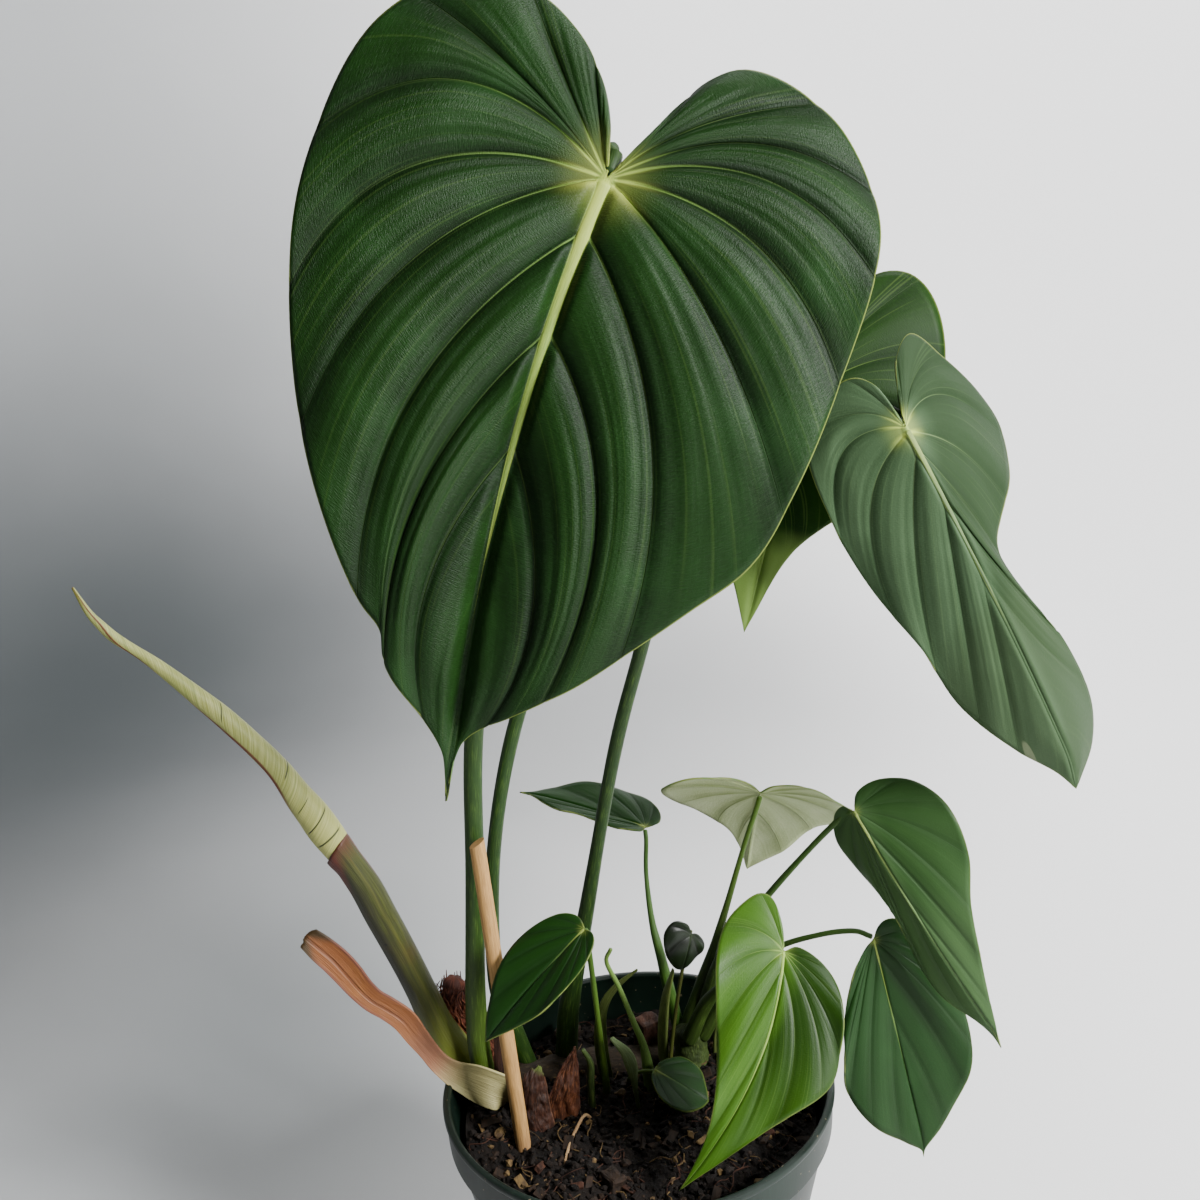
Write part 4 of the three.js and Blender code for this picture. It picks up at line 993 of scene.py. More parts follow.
def makePot():
    rim, base, height, wall, floor = (pot[key] for key in ("rim", "base", "height", "wall", "floor"))
    mouth = rim - wall - pot["lip"]
    inside = potRadius(floor) - wall
    bm = bmesh.new()
    spunProfile(bm, [
        (0, 0.6), (base - 8, 0.6), (base - 6.5, 0), (base - 2, 0), (base - 0.6, 0.5), (base + 0.2, 2),
        (potRadius(40), 40), (potRadius(80), 80), (potRadius(bandFoot), bandFoot),
        (rim - 1.7, bandFoot + 0.3), (rim - 1.3, bandFoot + 0.9), (rim - 1.1, bandFoot + 4),
        (rim - 0.8, height - 3.2), (rim - 0.2, height - 2.4), (rim, height - 1.7), (rim, height - 0.9),
        (rim - 0.3, height - 0.25), (rim - 0.9, height), (mouth + 0.6, height), (mouth + 0.1, height - 0.3),
        (mouth - 0.3, height - 1), (mouth - 0.1, height - 2.6), (mouth, height - 3.6),
        (potRadius(bandFoot) - wall, bandFoot - 2), (potRadius(60) - wall, 60), (inside, floor + 1.5),
        (inside - 2, floor), (0, floor),
    ], pot["sides"])
    faceOut(bm)
    cutter = makeDrills()
    piece = finished(bm, "pot_shell", [potLook()], "pot", sharp=28)
    cut = piece.modifiers.new("drain", "BOOLEAN")
    cut.operation = "DIFFERENCE"
    cut.object = cutter
    cut.solver = "EXACT"
    shape = bpy.data.meshes.new_from_object(piece.evaluated_get(bpy.context.evaluated_depsgraph_get()))
    piece.modifiers.clear()
    piece.data = shape
    bpy.data.objects.remove(cutter)


makePot()
print("pot")

# Soil: an uneven top with crumbs, bark chips and fibres

soil = {
    "rings": 110, "sides": 240, "crumbs": 3000, "chips": 130, "fibres": 150,
    "crumbSpans": ((0.6, 1.5), (0.6, 1.2), (0.5, 1)),
    "barks": {"dark": ("140e09", "2c1e13"), "tan": ("3a2b1c", "64502f"), "red": ("24130c", "44291c")},
    "blocks": [
        {"at": (6, 46), "size": (10, 9, 20), "turn": 0.5, "tilt": 0.1, "look": 3},
        {"at": (-30, 52), "size": (12, 9, 9), "turn": 1.1, "tilt": 0.3, "look": 1},
        {"at": (44, -12), "size": (11, 8, 6), "turn": 0.3, "tilt": -0.2, "look": 1},
        {"at": (-12, -38), "size": (9, 7, 6), "turn": 2.2, "tilt": 0.2, "look": 1},
        {"at": (52, 30), "size": (8, 10, 7), "turn": 0.9, "tilt": 0.4, "look": 3},
    ],
}


def soilHeight(x, y):
    mounds = 1.6 * math.sin(x * 0.09 + 1) * math.cos(y * 0.08) + 0.9 * math.sin(x * 0.23 - y * 0.19)
    heapAtLeft = 5 * math.exp(-((x + 52) ** 2 + (y - 12) ** 2) / 500)
    return soilTop + mounds + heapAtLeft


def soilLook():
    look = Look("soil_crumb", Specular_IOR_Level=0.2)
    place = look.place()
    clods = look.noise(place, 160, 5, 0.65)
    fine = look.noise(place, 900, 4, 0.7)
    pale = look.noise(place, 520, 2, 0.6)
    look.ground(look.ease(clods, 0.35, 0.65), "070504", "150f0b")
    look.cover(look.ease(fine, 0.55, 0.7) * 0.5, "281d15")
    look.cover(look.ease(pale, 0.72, 0.79) * 0.5, "5c4a34")
    return look.done(0.8 + 0.15 * fine, clods + fine * 0.6, 0.8)


def barkLook(name, dark, light):
    look = Look(name, Specular_IOR_Level=0.25)
    place = look.place()
    grain = look.noise(look.scaled(place, (1, 0.22, 1)), 420, 4, 0.65)
    look.ground(look.ease(grain, 0.3, 0.7), dark, light)
    return look.done(0.7 + 0.2 * grain, grain, 0.5)


def scattered(bm, count, build):
    # Small shapes are made a few at a time, and each batch joins the whole as one mesh.
    few = 60
    for first in range(0, count, few):
        batch = bmesh.new()
        for i in range(first, min(first + few, count)):
            build(batch, i)
        join(bm, batch)


def turned(*steps):
    result = Matrix.Identity(4)
    for axis, angle in steps:
        result = result @ Matrix.Rotation(angle, 4, axis)
    return result


def jitter(amount, size=1):
    return Vector([chance.uniform(-amount, amount) * size for axis in range(3)])


def bevelled(bm, edges, offset, segments):
    bmesh.ops.bevel(
        bm, geom=edges, offset=offset, offset_type="OFFSET", segments=segments, profile=0.5,
        affect="EDGES", material=-1,
    )


def shadeFaces(faces, shade):
    for face in faces:
        face.material_index = shade


def onSoil(reach=0.97):
    radius = math.sqrt(chance.random()) * (potRadius(soilTop) - pot["wall"] - 3) * reach
    turn = chance.uniform(0, 2 * math.pi)
    return radius * math.cos(turn), radius * math.sin(turn)


def roughHeight(x, y):
    lumps = ((1.5, 0.11, 4), (1.0, 0.28, 9), (0.5, 0.7, 2))
    return soilHeight(x, y) + sum(high * hidden((x, y, 0), scale, seed) for high, scale, seed in lumps)


def makeSoil():
    top = potRadius(soilTop) - pot["wall"] - 1.6
    low = pot["floor"] + 0.5
    bm = bmesh.new()
    profile = [(0, low), (potRadius(low) - pot["wall"] - 2.5, low), (top, soilTop - 3)]
    profile += [(top * (1 - i / soil["rings"]), soilTop) for i in range(1, soil["rings"] + 1)]
    spunProfile(bm, profile, soil["sides"])
    for vertex in bm.verts:
        if vertex.co.z > soilTop - 1:
            vertex.co.z = roughHeight(vertex.co.x, vertex.co.y)
    faceOut(bm)

    def crumb(batch, i):
        x, y = onSoil(1.0)
        size = chance.choice((0.5, 0.7, 0.9, 1.2, 1.6)) * chance.uniform(0.8, 1.3)
        stretch = Matrix.Diagonal((*(chance.uniform(*span) for span in soil["crumbSpans"]), 1))
        turn = turned(("Z", chance.uniform(0, 6.3)), ("X", chance.uniform(-1, 1)))
        place = Matrix.Translation((x, y, roughHeight(x, y) + size * chance.uniform(-0.2, 0.5)))
        made = bmesh.ops.create_icosphere(
            batch, subdivisions=1, radius=size, matrix=place @ turn @ stretch)["verts"]
        shade = chance.choice((0,) * 11 + (1, 1, 2))
        for vertex in made:
            vertex.co += jitter(0.2, size)
        shadeFaces(linked(made, "link_faces"), shade)

    def chip(batch, i):
        x, y = onSoil(0.95)
        long = chance.uniform(2.5, 9)
        wide = long * chance.uniform(0.25, 0.6)
        size = Matrix.Diagonal((long, wide, chance.uniform(0.6, 2.2), 1))
        heading = chance.uniform(0, 6.3)
        turn = turned(("Z", heading), ("Y", chance.gauss(0, 0.35)), ("X", chance.gauss(0, 0.35)))
        place = Matrix.Translation((x, y, roughHeight(x, y) + chance.uniform(0, 1.2)))
        made = bmesh.ops.create_cube(batch, size=1, matrix=place @ turn @ size)["verts"]
        for vertex in made:
            vertex.co += jitter(0.35)
        shadeFaces(linked(made, "link_faces"), chance.choice((1,) * 7 + (0, 0, 2, 3)))
        bevelled(batch, linked(made, "link_edges"), 0.22, 1)

    def fibre(batch, i):
        x, y = onSoil(0.93)
        heading = chance.uniform(0, 2 * math.pi)
        long = chance.uniform(6, 22)
        path = []
        for k in range(5):
            px = x + math.cos(heading) * long * k / 4
            py = y + math.sin(heading) * long * k / 4
            inside = min(1, (top - 1.5) / max(math.hypot(px, py), 1))
            px, py = px * inside, py * inside
            path.append((px, py, roughHeight(px, py) + chance.uniform(0.2, 1.6)))
            heading += chance.uniform(-0.5, 0.5)
        shadeFaces(tube(batch, path, [chance.uniform(0.1, 0.28)] * 2, 5, 12), (2, 3, 3)[i % 3])

    for block in soil["blocks"]:
        x, y = block["at"]
        size = Matrix.Diagonal((*block["size"], 1))
        turn = turned(("Z", block["turn"]), ("X", block["tilt"]))
        place = Matrix.Translation((x, y, roughHeight(x, y) + block["size"][2] * 0.3))
        chunk = bmesh.new()
        bmesh.ops.create_cube(chunk, size=1, matrix=place @ turn @ size)
        bevelled(chunk, chunk.edges[:], 1.3, 2)
        bmesh.ops.subdivide_edges(chunk, edges=chunk.edges[:], cuts=2, use_grid_fill=True)
        for vertex in chunk.verts:
            lump = hidden(vertex.co, 0.3, 17) + 0.5 * hidden(vertex.co, 0.9, 21)
            vertex.co += vertex.normal * lump * 0.9
        shadeFaces(chunk.faces, block["look"])
        join(bm, chunk)
    for key, build in (("crumbs", crumb), ("chips", chip), ("fibres", fibre)):
        scattered(bm, soil[key], build)
    looks = [soilLook(), *(barkLook(f"bark_{word}", *tones) for word, tones in soil["barks"].items())]
    finished(bm, "soil_mix", looks, "soil", smooth=False)


makeSoil()
print("soil")


def bark(name, low, high, streak, rough=0.7):
    # Papery or woody skin with long fibres along it.
    look = Look(name, Specular_IOR_Level=0.25)
    turn, along = look.layer("wrap")
    fibres = look.noise(look.vector(turn * 20, along * 0.12), 3, 5, 0.65)
    clouds = look.noise(look.place(), 120, 4, 0.6)
    look.ground(look.ease(clouds, 0.35, 0.7), low, high)
    look.cover(look.ease(fibres, 0.5, 0.72) * 0.7, streak)
    return look.done(rough + 0.2 * clouds, fibres + 0.6 * clouds, 0.5)


def knobbly(amount, seed, bands=0):
    def shaped(turn, along):
        angle = turn * 2 * math.pi
        lumps = hidden((math.cos(angle) * 1.6, math.sin(angle) * 1.6, along * 7), 1, seed)
        fine = hidden((math.cos(angle) * 5, math.sin(angle) * 5, along * 24), 1, seed + 3)
        ring = 0.03 * math.sin(along * bands * 2 * math.pi) if bands else 0
        return 1 + amount * lumps + amount * 0.4 * fine + ring
    return shaped


barSides = 32
barSteps = 70


def makeBar(name, path, radii, material, **more):
    bm = bmesh.new()
    tube(bm, path, radii, barSides, barSteps, **more)
    finished(bm, f"{name}_piece", [material], name)


makeBar(
    "rhizome", [(26, 42, 101), (-8, 37, 104), (-36, 30, 106), (-59, 21, 110)], [6, 8, 8.5, 7],
    bark("rhizome_skin", "1c140c", "30261a", "4a3d26"), facing=(0, 0, 1), shaped=knobbly(0.14, 5, 6),
)
makeBar(
    "young_stem", [(24, 30, 89), (24, 33, 108), (24, 34, 120)], [4.5, 7, 7],
    bark("young_stem_skin", "1f2a0e", "34431a", "556430", 0.5), shaped=knobbly(0.07, 9, 2),
)


paperDetail = (44, 60)


def makePaper(name, scale, material):
    # A dried scale: a cupped, crumpled sheet along a path, ragged towards its end.
    curve = spread(scale["path"])
    seed = scale["seed"]
    folds = ((1, 1.3, 3.2, 5), (0.5, 3.4, 8, 8), (0.22, 9, 19, 9))
    bm = bmesh.new()

    def placed(x, y):
        torn = 0.1 * abs(hidden((x * 2.6, 0, 0), 1, seed)) + 0.12 * x * x
        ragged = 1 - torn * scale.get("torn", 1)
        along = (y + 1) / 2 * ragged
        middle, tangent, side, front = station(curve, along, scale["facing"], 0.01)
        half = level(scale["widths"], along) * (1 + 0.12 * hidden((along * 5, x, 0), 1, seed + 2))
        crumple = sum(
            high * hidden((x * wide, along * long, 0), 1, seed + more) for high, wide, long, more in folds
        )
        depth = scale["cup"] * half * (1 - x * x) + scale["crumple"] * crumple
        return middle + side * (x * half) + front * depth, {"wrap": ((x + 1) / 2, along * curve.length)}

    sheet(bm, *paperDetail, placed)
    finished(bm, f"{name}_piece", [material], name, thickness=scale.get("thickness", 0.5))


def scaleLook(name, low, high, vein, rim, tip=None):
    # Dried skin with fine branching veins and a paler rim.
    look = Look(name, Specular_IOR_Level=0.3)
    turn, along = look.layer("wrap")
    veins = look.noise(look.vector(turn * 14, along * 0.09), 2.6, 4, 0.7)
    fine = look.noise(look.vector(turn * 50, along * 0.3), 1.6, 3, 0.6)
    clouds = look.noise(look.place(), 95, 4, 0.6)
    look.ground(look.ease(clouds, 0.35, 0.68), low, high)
    look.cover(look.ease(veins, 0.5, 0.62) * 0.6, vein)
    look.cover(look.ease(fine, 0.55, 0.75) * 0.3, rim)
    if tip:
        ragged = along + (clouds - 0.5) * 8
        look.cover(look.ease(ragged, tip["from"], tip["from"] + 3), tip["colour"])
    edge = look.ease(abs(turn - 0.5) + (clouds - 0.5) * 0.05, 0.44, 0.49)
    look.cover(edge * 0.8, rim)
    return look.done(0.45 + 0.25 * clouds, veins + 0.4 * clouds, 0.5)


makePaper("dark_sheath_strip", {
    "path": [(-53, 9, 104), (-54.5, 9, 120), (-54.5, 9, 145)], "widths": [3, 3.2, 1.2], "seed": 41,
    "facing": facingViewer, "cup": 0.4, "crumple": 0.5,
}, bark("sheath_strip_skin", "1c0f0a", "3a2015", "553424"))
makePaper("dried_scale", {
    "path": [(-39, -3, 102), (-41.5, -3, 111), (-42, -2, 120), (-41, -1, 128), (-39, 1, 133)],
    "widths": [5, 6.6, 6.2, 5, 3], "seed": 45, "facing": (0.25, -1, 0.1), "cup": 0.5, "crumple": 1.8,
}, scaleLook("dried_scale_skin", "1c0f09", "321a10", "4c2c1b", "5c3c2a", {"from": 28.5, "colour": "4c5a22"}))
makePaper("dried_scale_triangular", {
    "path": [(-32, 3, 102), (-31, 3.5, 111), (-29, 4, 120), (-26.5, 5, 129), (-24, 5.5, 137)],
    "widths": [6, 6.8, 5.6, 3.4, 0.6], "seed": 52, "facing": (0.3, -1, 0.3), "cup": 0.35, "crumple": 1.6,
}, scaleLook("triangular_scale_skin", "2a140b", "4c2815", "7a4a2c", "42261f"))
makeBar(
    "pale_scale",
    [(-12, 26, 100), (-14, 25, 120), (-13.4, 24, 136), (-10.2, 23, 146), (-4.5, 22.5, 153), (3, 22, 159)],
    [2.4, 2.8, 2.8, 2.2, 1.5, 0.5], stalkLook("pale_scale_skin", "3d4d1a", "7d8a4a", "959c62", 0.5),
    flat=0.45,
)
makeBar(
    "thin_shoot", [(6, 18, 93), (4, 16, 124), (0, 13, 141), (-5, 9, 160), (-9, 6, 173), (-7, 5, 179)],
    [2.2, 2.6, 1.6, 1.1, 1, 0.8], stalkLook("thin_shoot_skin", "5c7a38", "56702f", "8fa860"),
)
makeBar(
    "pale_seedling", [(0, 2, 103), (-1, 3, 116), (-3, 4, 131), (-9, 4, 140)], [1, 1, 2.6, 1],
    stalkLook("pale_seedling_skin", "55663a", "7f9468", "98a880", 0.5), flat=0.5,
)
makeBar(
    "green_stub", [(-19, 6, 101), (-19, 6, 118), (-18.5, 6, 128), (-21, 5, 135)], [1.6, 1.5, 1.5, 0.9],
    stalkLook("green_stub_skin", "1f2c10", "5c7238", "7d9448"),
)
oliveSheaths = {
    "left": {
        "path": [(12, 32, 97), (12, 31, 120), (14, 31, 138), (18, 30, 153)], "radii": [3.4, 3.6, 3, 0.9],
        "out": -0.9,
    },
    "right": {"path": [(35, 37, 97), (36, 37, 118), (40, 38, 134)], "radii": [3.4, 3.4, 0.9], "out": 0.9},
}
for word, sheath in oliveSheaths.items():
    name = f"olive_sheath_{word}"
    skin = stalkLook(f"{name}_skin", "4f5a2c", "6a7a3c", "8c9850")
    makeBar(name, sheath["path"], sheath["radii"], skin, flat=0.4, facing=(sheath["out"], -0.5, 0))
makeBar(
    "root_thread", [(-18, 2, 103), (-22, -2, 110), (-26, -10, 109), (-29, -20, 108), (-31, -28, 104)],
    [0.7, 0.6, 0.6, 0.6, 0.6], bark("root_thread_skin", "8a6a48", "b4946c", "c9ad84"),
    shaped=knobbly(0.2, 40),
)
print("scales and shoots")

# Stake: a round stick, cut off slantwise


stake = {
    "path": [(-43, -21, 62), (-46.4, -14, 108), (-55, 4, 231)], "radii": [3, 3],
    "detail": (36, 60), "caps": (0.3, 0), "slant": -28, "cutThrough": (-55, 3, 240), "cutBelow": 10,
}


def stakeLook():
    look = Look("stake_wood", Specular_IOR_Level=0.3)
    turn, along = look.layer("wrap")
    grain = look.noise(look.vector(turn * 9, along * 0.035), 3, 5, 0.6)
    pores = look.noise(look.vector(turn * 60, along * 0.5), 2, 2)
    look.ground(look.ease(grain, 0.3, 0.7), "94703f", "b48c56")
    look.cover(look.ease(pores, 0.62, 0.75) * 0.5, "7d5636")
    look.cover(look.ease(along, 60, 38) * 0.7, "6b4a34")
    return look.done(0.6 + 0.2 * grain, grain + pores * 0.5, 0.25)


def makeStake():
    bm = bmesh.new()
    tube(bm, stake["path"], stake["radii"], *stake["detail"], caps=stake["caps"])
    slant = math.radians(stake["slant"])
    normal = Vector((math.sin(slant), 0, math.cos(slant)))
    cut = bmesh.ops.bisect_plane(
        bm, geom=[*bm.verts, *bm.edges, *bm.faces], plane_no=normal, clear_outer=True,
        plane_co=Vector(stake["cutThrough"]) - normal * stake["cutBelow"],
    )["geom_cut"]
    bmesh.ops.holes_fill(bm, edges=[edge for edge in cut if isinstance(edge, bmesh.types.BMEdge)])
    faceOut(bm)
    finished(bm, "stake_stick", [stakeLook()], "stake", sharp=40)


makeStake()

# Dead stem stub: a thick stub wrapped in loose dark fibres

stub = {
    "path": [(-57, 31, 106), (-64, 33, 120), (-71, 34, 133), (-75, 34, 144), (-74, 34, 152)],
    "radii": [3.4, 4.2, 5.2, 5.6, 4.2], "detail": (30, 50), "fibres": 300,
    "tones": {"dark": ("2c120b", "5a2a1a", "7c4630"), "fibre": ("5a2c1a", "8a4e34", "a46c4c")},
}


def makeStub():
    bm = bmesh.new()
    tube(bm, stub["path"], stub["radii"], *stub["detail"], shaped=knobbly(0.36, 60))
    curve = spread(stub["path"])
    for i in range(stub["fibres"]):
        start = chance.uniform(0.15, 0.8)
        angle = chance.uniform(0, 2 * math.pi)
        out = Vector((math.cos(angle), math.sin(angle), chance.uniform(-0.3, 0.4)))
        radius = level(stub["radii"], start)
        path = []
        for k in range(4):
            middle = Vector(curve(min(start + k * 0.07, 1)))
            loose = radius * (1.02 + 0.17 * k * chance.uniform(0, 1))
            path.append(middle + out * loose + jitter(0.9))
        for face in tube(bm, path, [0.45, 0.34, 0.15], 5, 8):
            face.material_index = chance.choice((0, 1))
    looks = [bark(f"stub_{word}", *tones) for word, tones in stub["tones"].items()]
    finished(bm, "stem_stub_piece", looks, "stem_stub")


makeStub()
print("stub")

# New leaf: a blade rolled round itself, standing out of its sheath

newLeaf = {
    "path": [
        (-104, 14, 215), (-108.6, 12.2, 225), (-116, 11, 240.4), (-121, 10, 249.5), (-126.3, 9, 260.1),
        (-133, 8, 270.4), (-142.9, 7, 283.4), (-152.5, 6, 294.5), (-159.9, 5, 302.6), (-167.8, 4, 310.8),
        (-177.4, 3, 319), (-181.8, 2, 324.9), (-185, 1, 330.4), (-188.4, 0, 339.8),
    ],
    "radii": [3.8, 5.5, 6.4, 6, 5.2, 4.6, 4.3, 4, 3.6, 3, 2.4, 1.8, 1.9, 1.2, 0.25],
    "turns": 1.35, "thickness": 0.45, "detail": (76, 130),
    "seam": [190, 180, 162, 138, 124, 126, 144, 162, 160, 120, 60, 60],
    "marks": [
        {"along": 20, "turn": 0.8, "lean": -10, "wide": 0.5, "long": 0.14},
        {"along": 28, "turn": 0.82, "lean": -22, "wide": 0.45, "long": 0.14},
        {"along": 37, "turn": 0.86, "lean": -20, "wide": 0.25, "long": 0.08},
        {"along": 52, "turn": 0.8, "lean": -26, "wide": 0.45, "long": 0.1},
        {"along": 84, "turn": 0.8, "lean": -26, "wide": 0.3, "long": 0.12},
    ],
}


def newLeafLook(name):
    # Cream green, finely lined askew, with a few dark creases and a brown outer edge.
    look = Look(name, Specular_IOR_Level=0.35)
    turn, along = look.layer("wrap")
    bend = look.noise(look.vector(turn * 2, along * 0.02), 1.2, 1)
    slanted = along + turn * 34 + bend * 5
    lines = look.noise(look.vector(slanted * 0.9, turn * 0.8), 1.1, 2, 0.5)
    fine = look.noise(look.vector(slanted * 2.6, turn * 1.5), 1.3, 2, 0.6)
    clouds = look.noise(look.place(), 45, 3)
    look.ground(look.ease(fine, 0.35, 0.7), "6f7434", "9a9c62")
    look.cover(look.ease(lines, 0.5, 0.68) * 0.6, "5a672c")
    look.cover(look.ease(clouds, 0.45, 0.75) * 0.35, "66702f")
    look.cover(look.ease(along, 62, 20) * 0.45, "a8a862")
    creases = 0
    for mark in newLeaf["marks"]:
        askew = along - mark["along"] - (turn - mark["turn"]) * mark["lean"]
        line = look.ease(abs(askew + (bend - 0.5) * 3), mark["wide"], mark["wide"] * 0.3)
        creases = line * look.ease(abs(turn - mark["turn"]), mark["long"], mark["long"] * 0.6) + creases
    look.cover(creases.atMost(1) * 0.95, "1f270c")
    look.cover(look.ease(turn, 0.955, 0.975) * look.ease(along, 30, 50), "5a2c16")
    look.cover(look.ease(along, 140, 152) * look.ease(turn, 0.8, 0.5), "5c5a14")
    return look.done(0.42 + 0.2 * fine, fine * 0.4 + lines * 0.5 - creases, 0.2)


def makeNewLeaf():
    curve = spread(newLeaf["path"])
    bm = bmesh.new()

    def placed(x, y):
        turn = (x + 1) / 2
        along = (y + 1) / 2
        middle, tangent, side, front = station(curve, along, facingViewer)
        radius = level(newLeaf["radii"], along) * (0.8 + 0.2 * turn)
        radius *= 1 + 0.015 * math.sin(along * 40 + turn * 8)
        angle = (turn - 1) * newLeaf["turns"] * 2 * math.pi + math.radians(level(newLeaf["seam"], along))
        return onRing(middle, side, front, angle, radius), {"wrap": (turn, along * curve.length)}

    sheet(bm, *newLeaf["detail"], placed)
    faceOut(bm)
    skin = newLeafLook("new_leaf_skin")
    edge = bark("new_leaf_edge", "5d3020", "7c4630", "946048")
    finished(bm, "new_leaf_roll", [skin, skin, edge], "new_leaf_rolled", thickness=newLeaf["thickness"])


makeNewLeaf()

# Its sheath: a thick grooved stalk, open and reddish where the new leaf comes out

newSheath = {
    "path": [
        (-59, 21, 107), (-67, 23, 113.5), (-74.5, 24, 124), (-80.8, 23.5, 138.5), (-84.8, 23, 152.4),
        (-89.2, 21, 168.2), (-93.6, 19, 182.5), (-97.5, 17, 195), (-101.4, 15, 208), (-106, 13.2, 219),
        (-110, 12, 227),
    ],
    "radii": [6.5, 8, 8, 6.8, 6.2, 6.1, 6.2, 6.3, 6.3, 6, 5.6],
    "ridge": 0.165, "detail": (48, 120), "speck": {"turn": 0.3, "along": 88, "size": 0.5},
}


def sheathLook():
    # Olive, with painted shade making the left side dark and dull, a light ridge, then brighter green, brown
    # in places.
    look = Look("new_leaf_sheath_skin", Specular_IOR_Level=0.35)
    turn, along = look.layer("wrap")
    lines = look.noise(look.vector(turn * 30, along * 0.03), 2, 4, 0.6)
    clouds = look.noise(look.place(), 60, 3)
    look.ground(look.ease(lines, 0.35, 0.7), "262a05", "3b400b")
    # Painted shade: the side turned away from the light is darker.
    look.cover(look.ease(turn, 0.2, 0.3) * 0.8, "1c1c0a")
    look.cover(look.ease(clouds, 0.52, 0.74) * 0.4, "422f09")
    ridge = look.ease(abs(turn - newSheath["ridge"] + (lines - 0.5) * 0.02), 0.024, 0.006)
    look.cover(ridge * 0.2, "5e5c20")
    look.cover(look.ease(along, 66, 16) * 0.85, "76802c")
    mouth = look.ease(along + (lines - 0.5) * 14 + 14 * look.ease(turn, 0.22, 0.4), 124, 136)
    look.cover(mouth * 0.9, "4a1a10")
    speck = newSheath["speck"]
    apart = (((turn - speck["turn"]) * 38) ** 2 + (along - speck["along"]) ** 2) ** 0.5
    look.cover(look.ease(apart, speck["size"] * 1.5, speck["size"]), "060503")
    return look.done(0.42 + 0.15 * lines, lines - ridge * 0.4, 0.25)


def makeSheath():
    curve = spread(newSheath["path"])
    bm = bmesh.new()

    def placed(x, y):
        turn = (x + 1) / 2
        # Past 1 the wall turns over the mouth and runs back inside.
        row = (y + 1) / 2 * 1.12
        along = min(row, 1) - max(row - 1.01, 0) * 1.5
        middle, tangent, side, front = station(curve, along, facingViewer)
        angle = turn * 2 * math.pi
        ridge = math.exp(-(((turn - newSheath["ridge"]) / 0.03) ** 2)) * smoothly(along, 0.2, 0.5)
        grooves = 0.015 * math.cos(angle * 7) + 0.05 * ridge
        radius = level(newSheath["radii"], along) * (1 + grooves)
        radius += 0.9 * smoothly(row, 0.93, 1) - 1.1 * smoothly(row, 0.995, 1.015)
        slope = math.cos(angle - 0.5) * 3.6 * smoothly(along, 0.86, 1)
        point = onRing(middle, side, front, angle, radius) + tangent * slope
        return point, {"wrap": (turn, along * curve.length)}

    made = sheet(bm, *newSheath["detail"], placed)[0]
    bmesh.ops.remove_doubles(bm, verts=made, dist=1e-4)
    bmesh.ops.holes_fill(bm, edges=[edge for edge in bm.edges if edge.is_boundary])
    faceOut(bm)
    finished(bm, "new_leaf_sheath_piece", [sheathLook()], "new_leaf_sheath")


makeSheath()
print("new leaf")

# Bract: a dried scale that wraps the foot in front and bends out to the left

bract = {
    "path": [
        (-49, 8, 112), (-53, 3, 118), (-59, 2, 122), (-66, 3, 125.5), (-73, 3.7, 129), (-78.4, 4, 133.9),
        (-82.5, 4, 140.2), (-86.8, 4.4, 147), (-91, 5, 154), (-96.7, 5, 159.5), (-102.3, 5.1, 163.8),
        (-106.8, 5.7, 169), (-111, 6.3, 175.4), (-115.5, 6.9, 181.6), (-120.6, 7.4, 187), (-126, 8, 192.4),
    ],
    "widths": [5, 7, 7.4, 7, 5.6, 4.4, 4, 4.4, 4.8, 4.8, 5, 5.4, 5.8, 5.9, 5.5, 4.4],
    "seed": 71, "facing": (-0.1, -1, 0.3), "cup": -0.22, "crumple": 0.3, "torn": 0.12, "thickness": 0.9,
}


def bractLook():
    # Cream where it wraps the foot, then pink, then orange brown with a dark rim at its tip.
    look = Look("bract_skin", Specular_IOR_Level=0.3)
    turn, along = look.layer("wrap")
    veins = look.noise(look.vector(turn * 16, along * 0.03), 2.2, 4, 0.6)
    clouds = look.noise(look.place(), 70, 4)
    look.ground(look.ease(along, 66, 44), "7c4a24", "98674c")
    look.cover(look.ease(along + (clouds - 0.5) * 12, 44, 26), "a09868")
    look.cover(look.ease(veins, 0.5, 0.72) * look.ease(along, 20, 50) * 0.6, "6a3614")
    look.cover(look.ease(clouds, 0.5, 0.75) * look.ease(along, 20, 50) * 0.5, "94602f")
    keel = look.ease(abs(turn - 0.42 + (veins - 0.5) * 0.06), 0.09, 0.02) * look.ease(along, 50, 70)
    look.cover(keel * 0.5, "55290f")
    rim = look.ease(abs(turn - 0.5), 0.4, 0.47) * look.ease(along, 60, 75)
    look.cover(rim * 0.6, "5c3330")
    end = look.ease(along + 8 * abs(turn - 0.5) * 2, 110, 118)
    look.cover(end * 0.85, "25250f")
    return look.done(0.45 + 0.2 * clouds, veins + clouds * 0.4 - keel, 0.4)


makePaper("bract", bract, bractLook())
print("bract")

# Stage: a pale round floor that rises into a wall all round, and soft light from the right

stage = {
    "flat": 850, "edge": 1700, "height": 2800, "sides": 128, "bends": 16,
    # Painted shadows on the paper behind the plant.
    "paintedShadows": [
        {"at": (-560, 900, 90), "reach": (760, 1050, 640), "colour": "33393b", "shown": 0.95},
        {"at": (-215, 215, 0), "reach": (170, 260, 200), "colour": "5f6567", "shown": 0.6},
        {"at": (70, 820, 40), "reach": (280, 420, 220), "colour": "8a8c8d", "shown": 0.55},
    ],
}


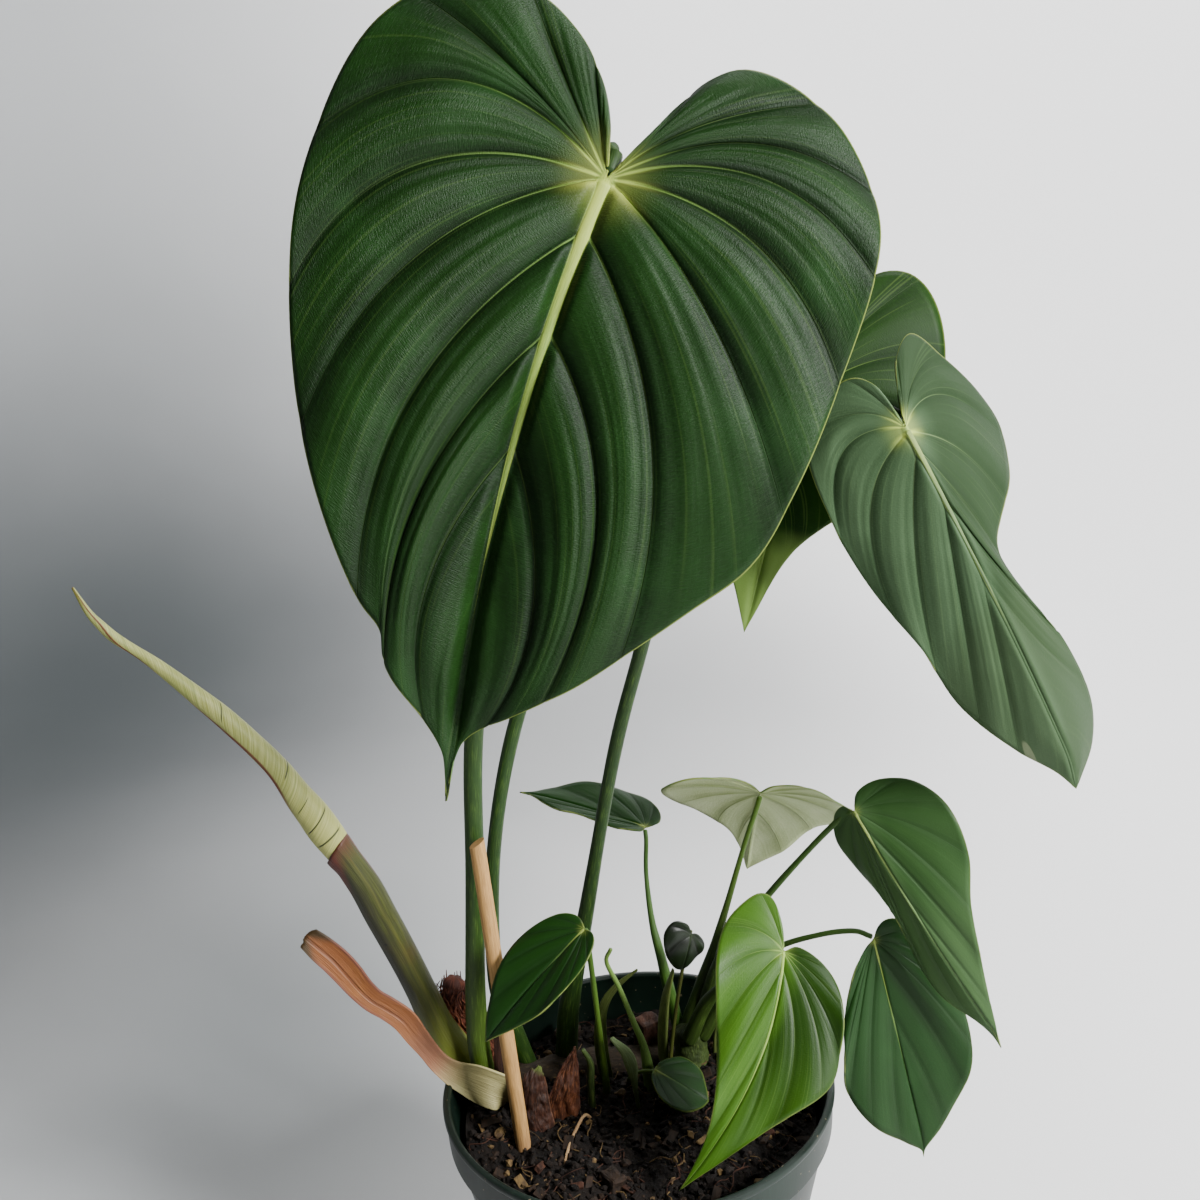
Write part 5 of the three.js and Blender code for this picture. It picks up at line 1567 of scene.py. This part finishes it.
def stageLook():
    # Pale paper, painted greyer to the left as a falloff of light, with painted shadows behind the plant,
    # and a dark wall in front.
    look = Look("paper", Specular_IOR_Level=0.2)
    place = look.place()
    soft = look.noise(place, 2, 3)
    x, y, z = look.axes(place)
    # Painted falloff of light: the paper is greyer to the left.
    look.ground(look.ease(x + (soft - 0.5) * 0.2, 0.25, -0.8) * 0.8, "f4f4f4", "a3a6a8")
    # Painted shadows: soft dark clouds where the plant's shadow falls.
    for shade in stage["paintedShadows"]:
        away = 0
        for axis, middle, reach in zip((x, y, z), shade["at"], shade["reach"]):
            away = ((axis - middle * metre) / (reach * metre)) ** 2 + away
        dark = look.ease(away ** 0.5 + (soft - 0.5) * 0.2, 1.4, 0)
        look.cover(dark * shade["shown"], shade["colour"])
    front = look.ease(y, 0.7, -0.6) * look.ease(z, 0, 0.5)
    look.cover(front, "2b2d2f")
    return look.done(0.8 + 0.05 * soft, soft, 6, 0.2)


def makeStage():
    bm = bmesh.new()
    rise = stage["edge"] - stage["flat"]
    profile = [(0, 0), (stage["flat"], 0)]
    for i in range(1, stage["bends"] + 1):
        turn = i / stage["bends"] * math.pi / 2
        profile.append((stage["flat"] + rise * math.sin(turn), rise * (1 - math.cos(turn))))
    profile.append((stage["edge"], stage["height"]))
    spunProfile(bm, profile, stage["sides"])
    faceOut(bm)
    bmesh.ops.reverse_faces(bm, faces=bm.faces[:])
    asObject(bm, "sweep", [stageLook()])


makeStage()

lights = {
    "window": {"at": (1155, -800, 1070), "toward": (0, 0, 300), "size": 430, "power": 70},
    "behind": {"at": (500, 500, 1500), "toward": (350, 1700, 500), "size": 700, "power": 26},
}
for name, light in lights.items():
    data = bpy.data.lights.new(name, "AREA")
    data.shape = "SQUARE"
    data.size = light["size"] * metre
    data.energy = light["power"]
    lamp = bpy.data.objects.new(name, data)
    back = Vector(light["at"]) - Vector(light["toward"])
    aim = back.to_track_quat("Z", "Y").to_matrix().to_4x4()
    lamp.matrix_world = Matrix.Translation(Vector(light["at"]) * metre) @ aim
    bpy.context.scene.collection.objects.link(lamp)

air = {"colour": "d3dae0", "strength": 0.03}
world = bpy.data.worlds.new("studio")
world.use_nodes = True
sky = world.node_tree.nodes["Background"]
sky.inputs["Color"].default_value = tint(air["colour"])
sky.inputs["Strength"].default_value = air["strength"]
bpy.context.scene.world = world
print("stage and lights")
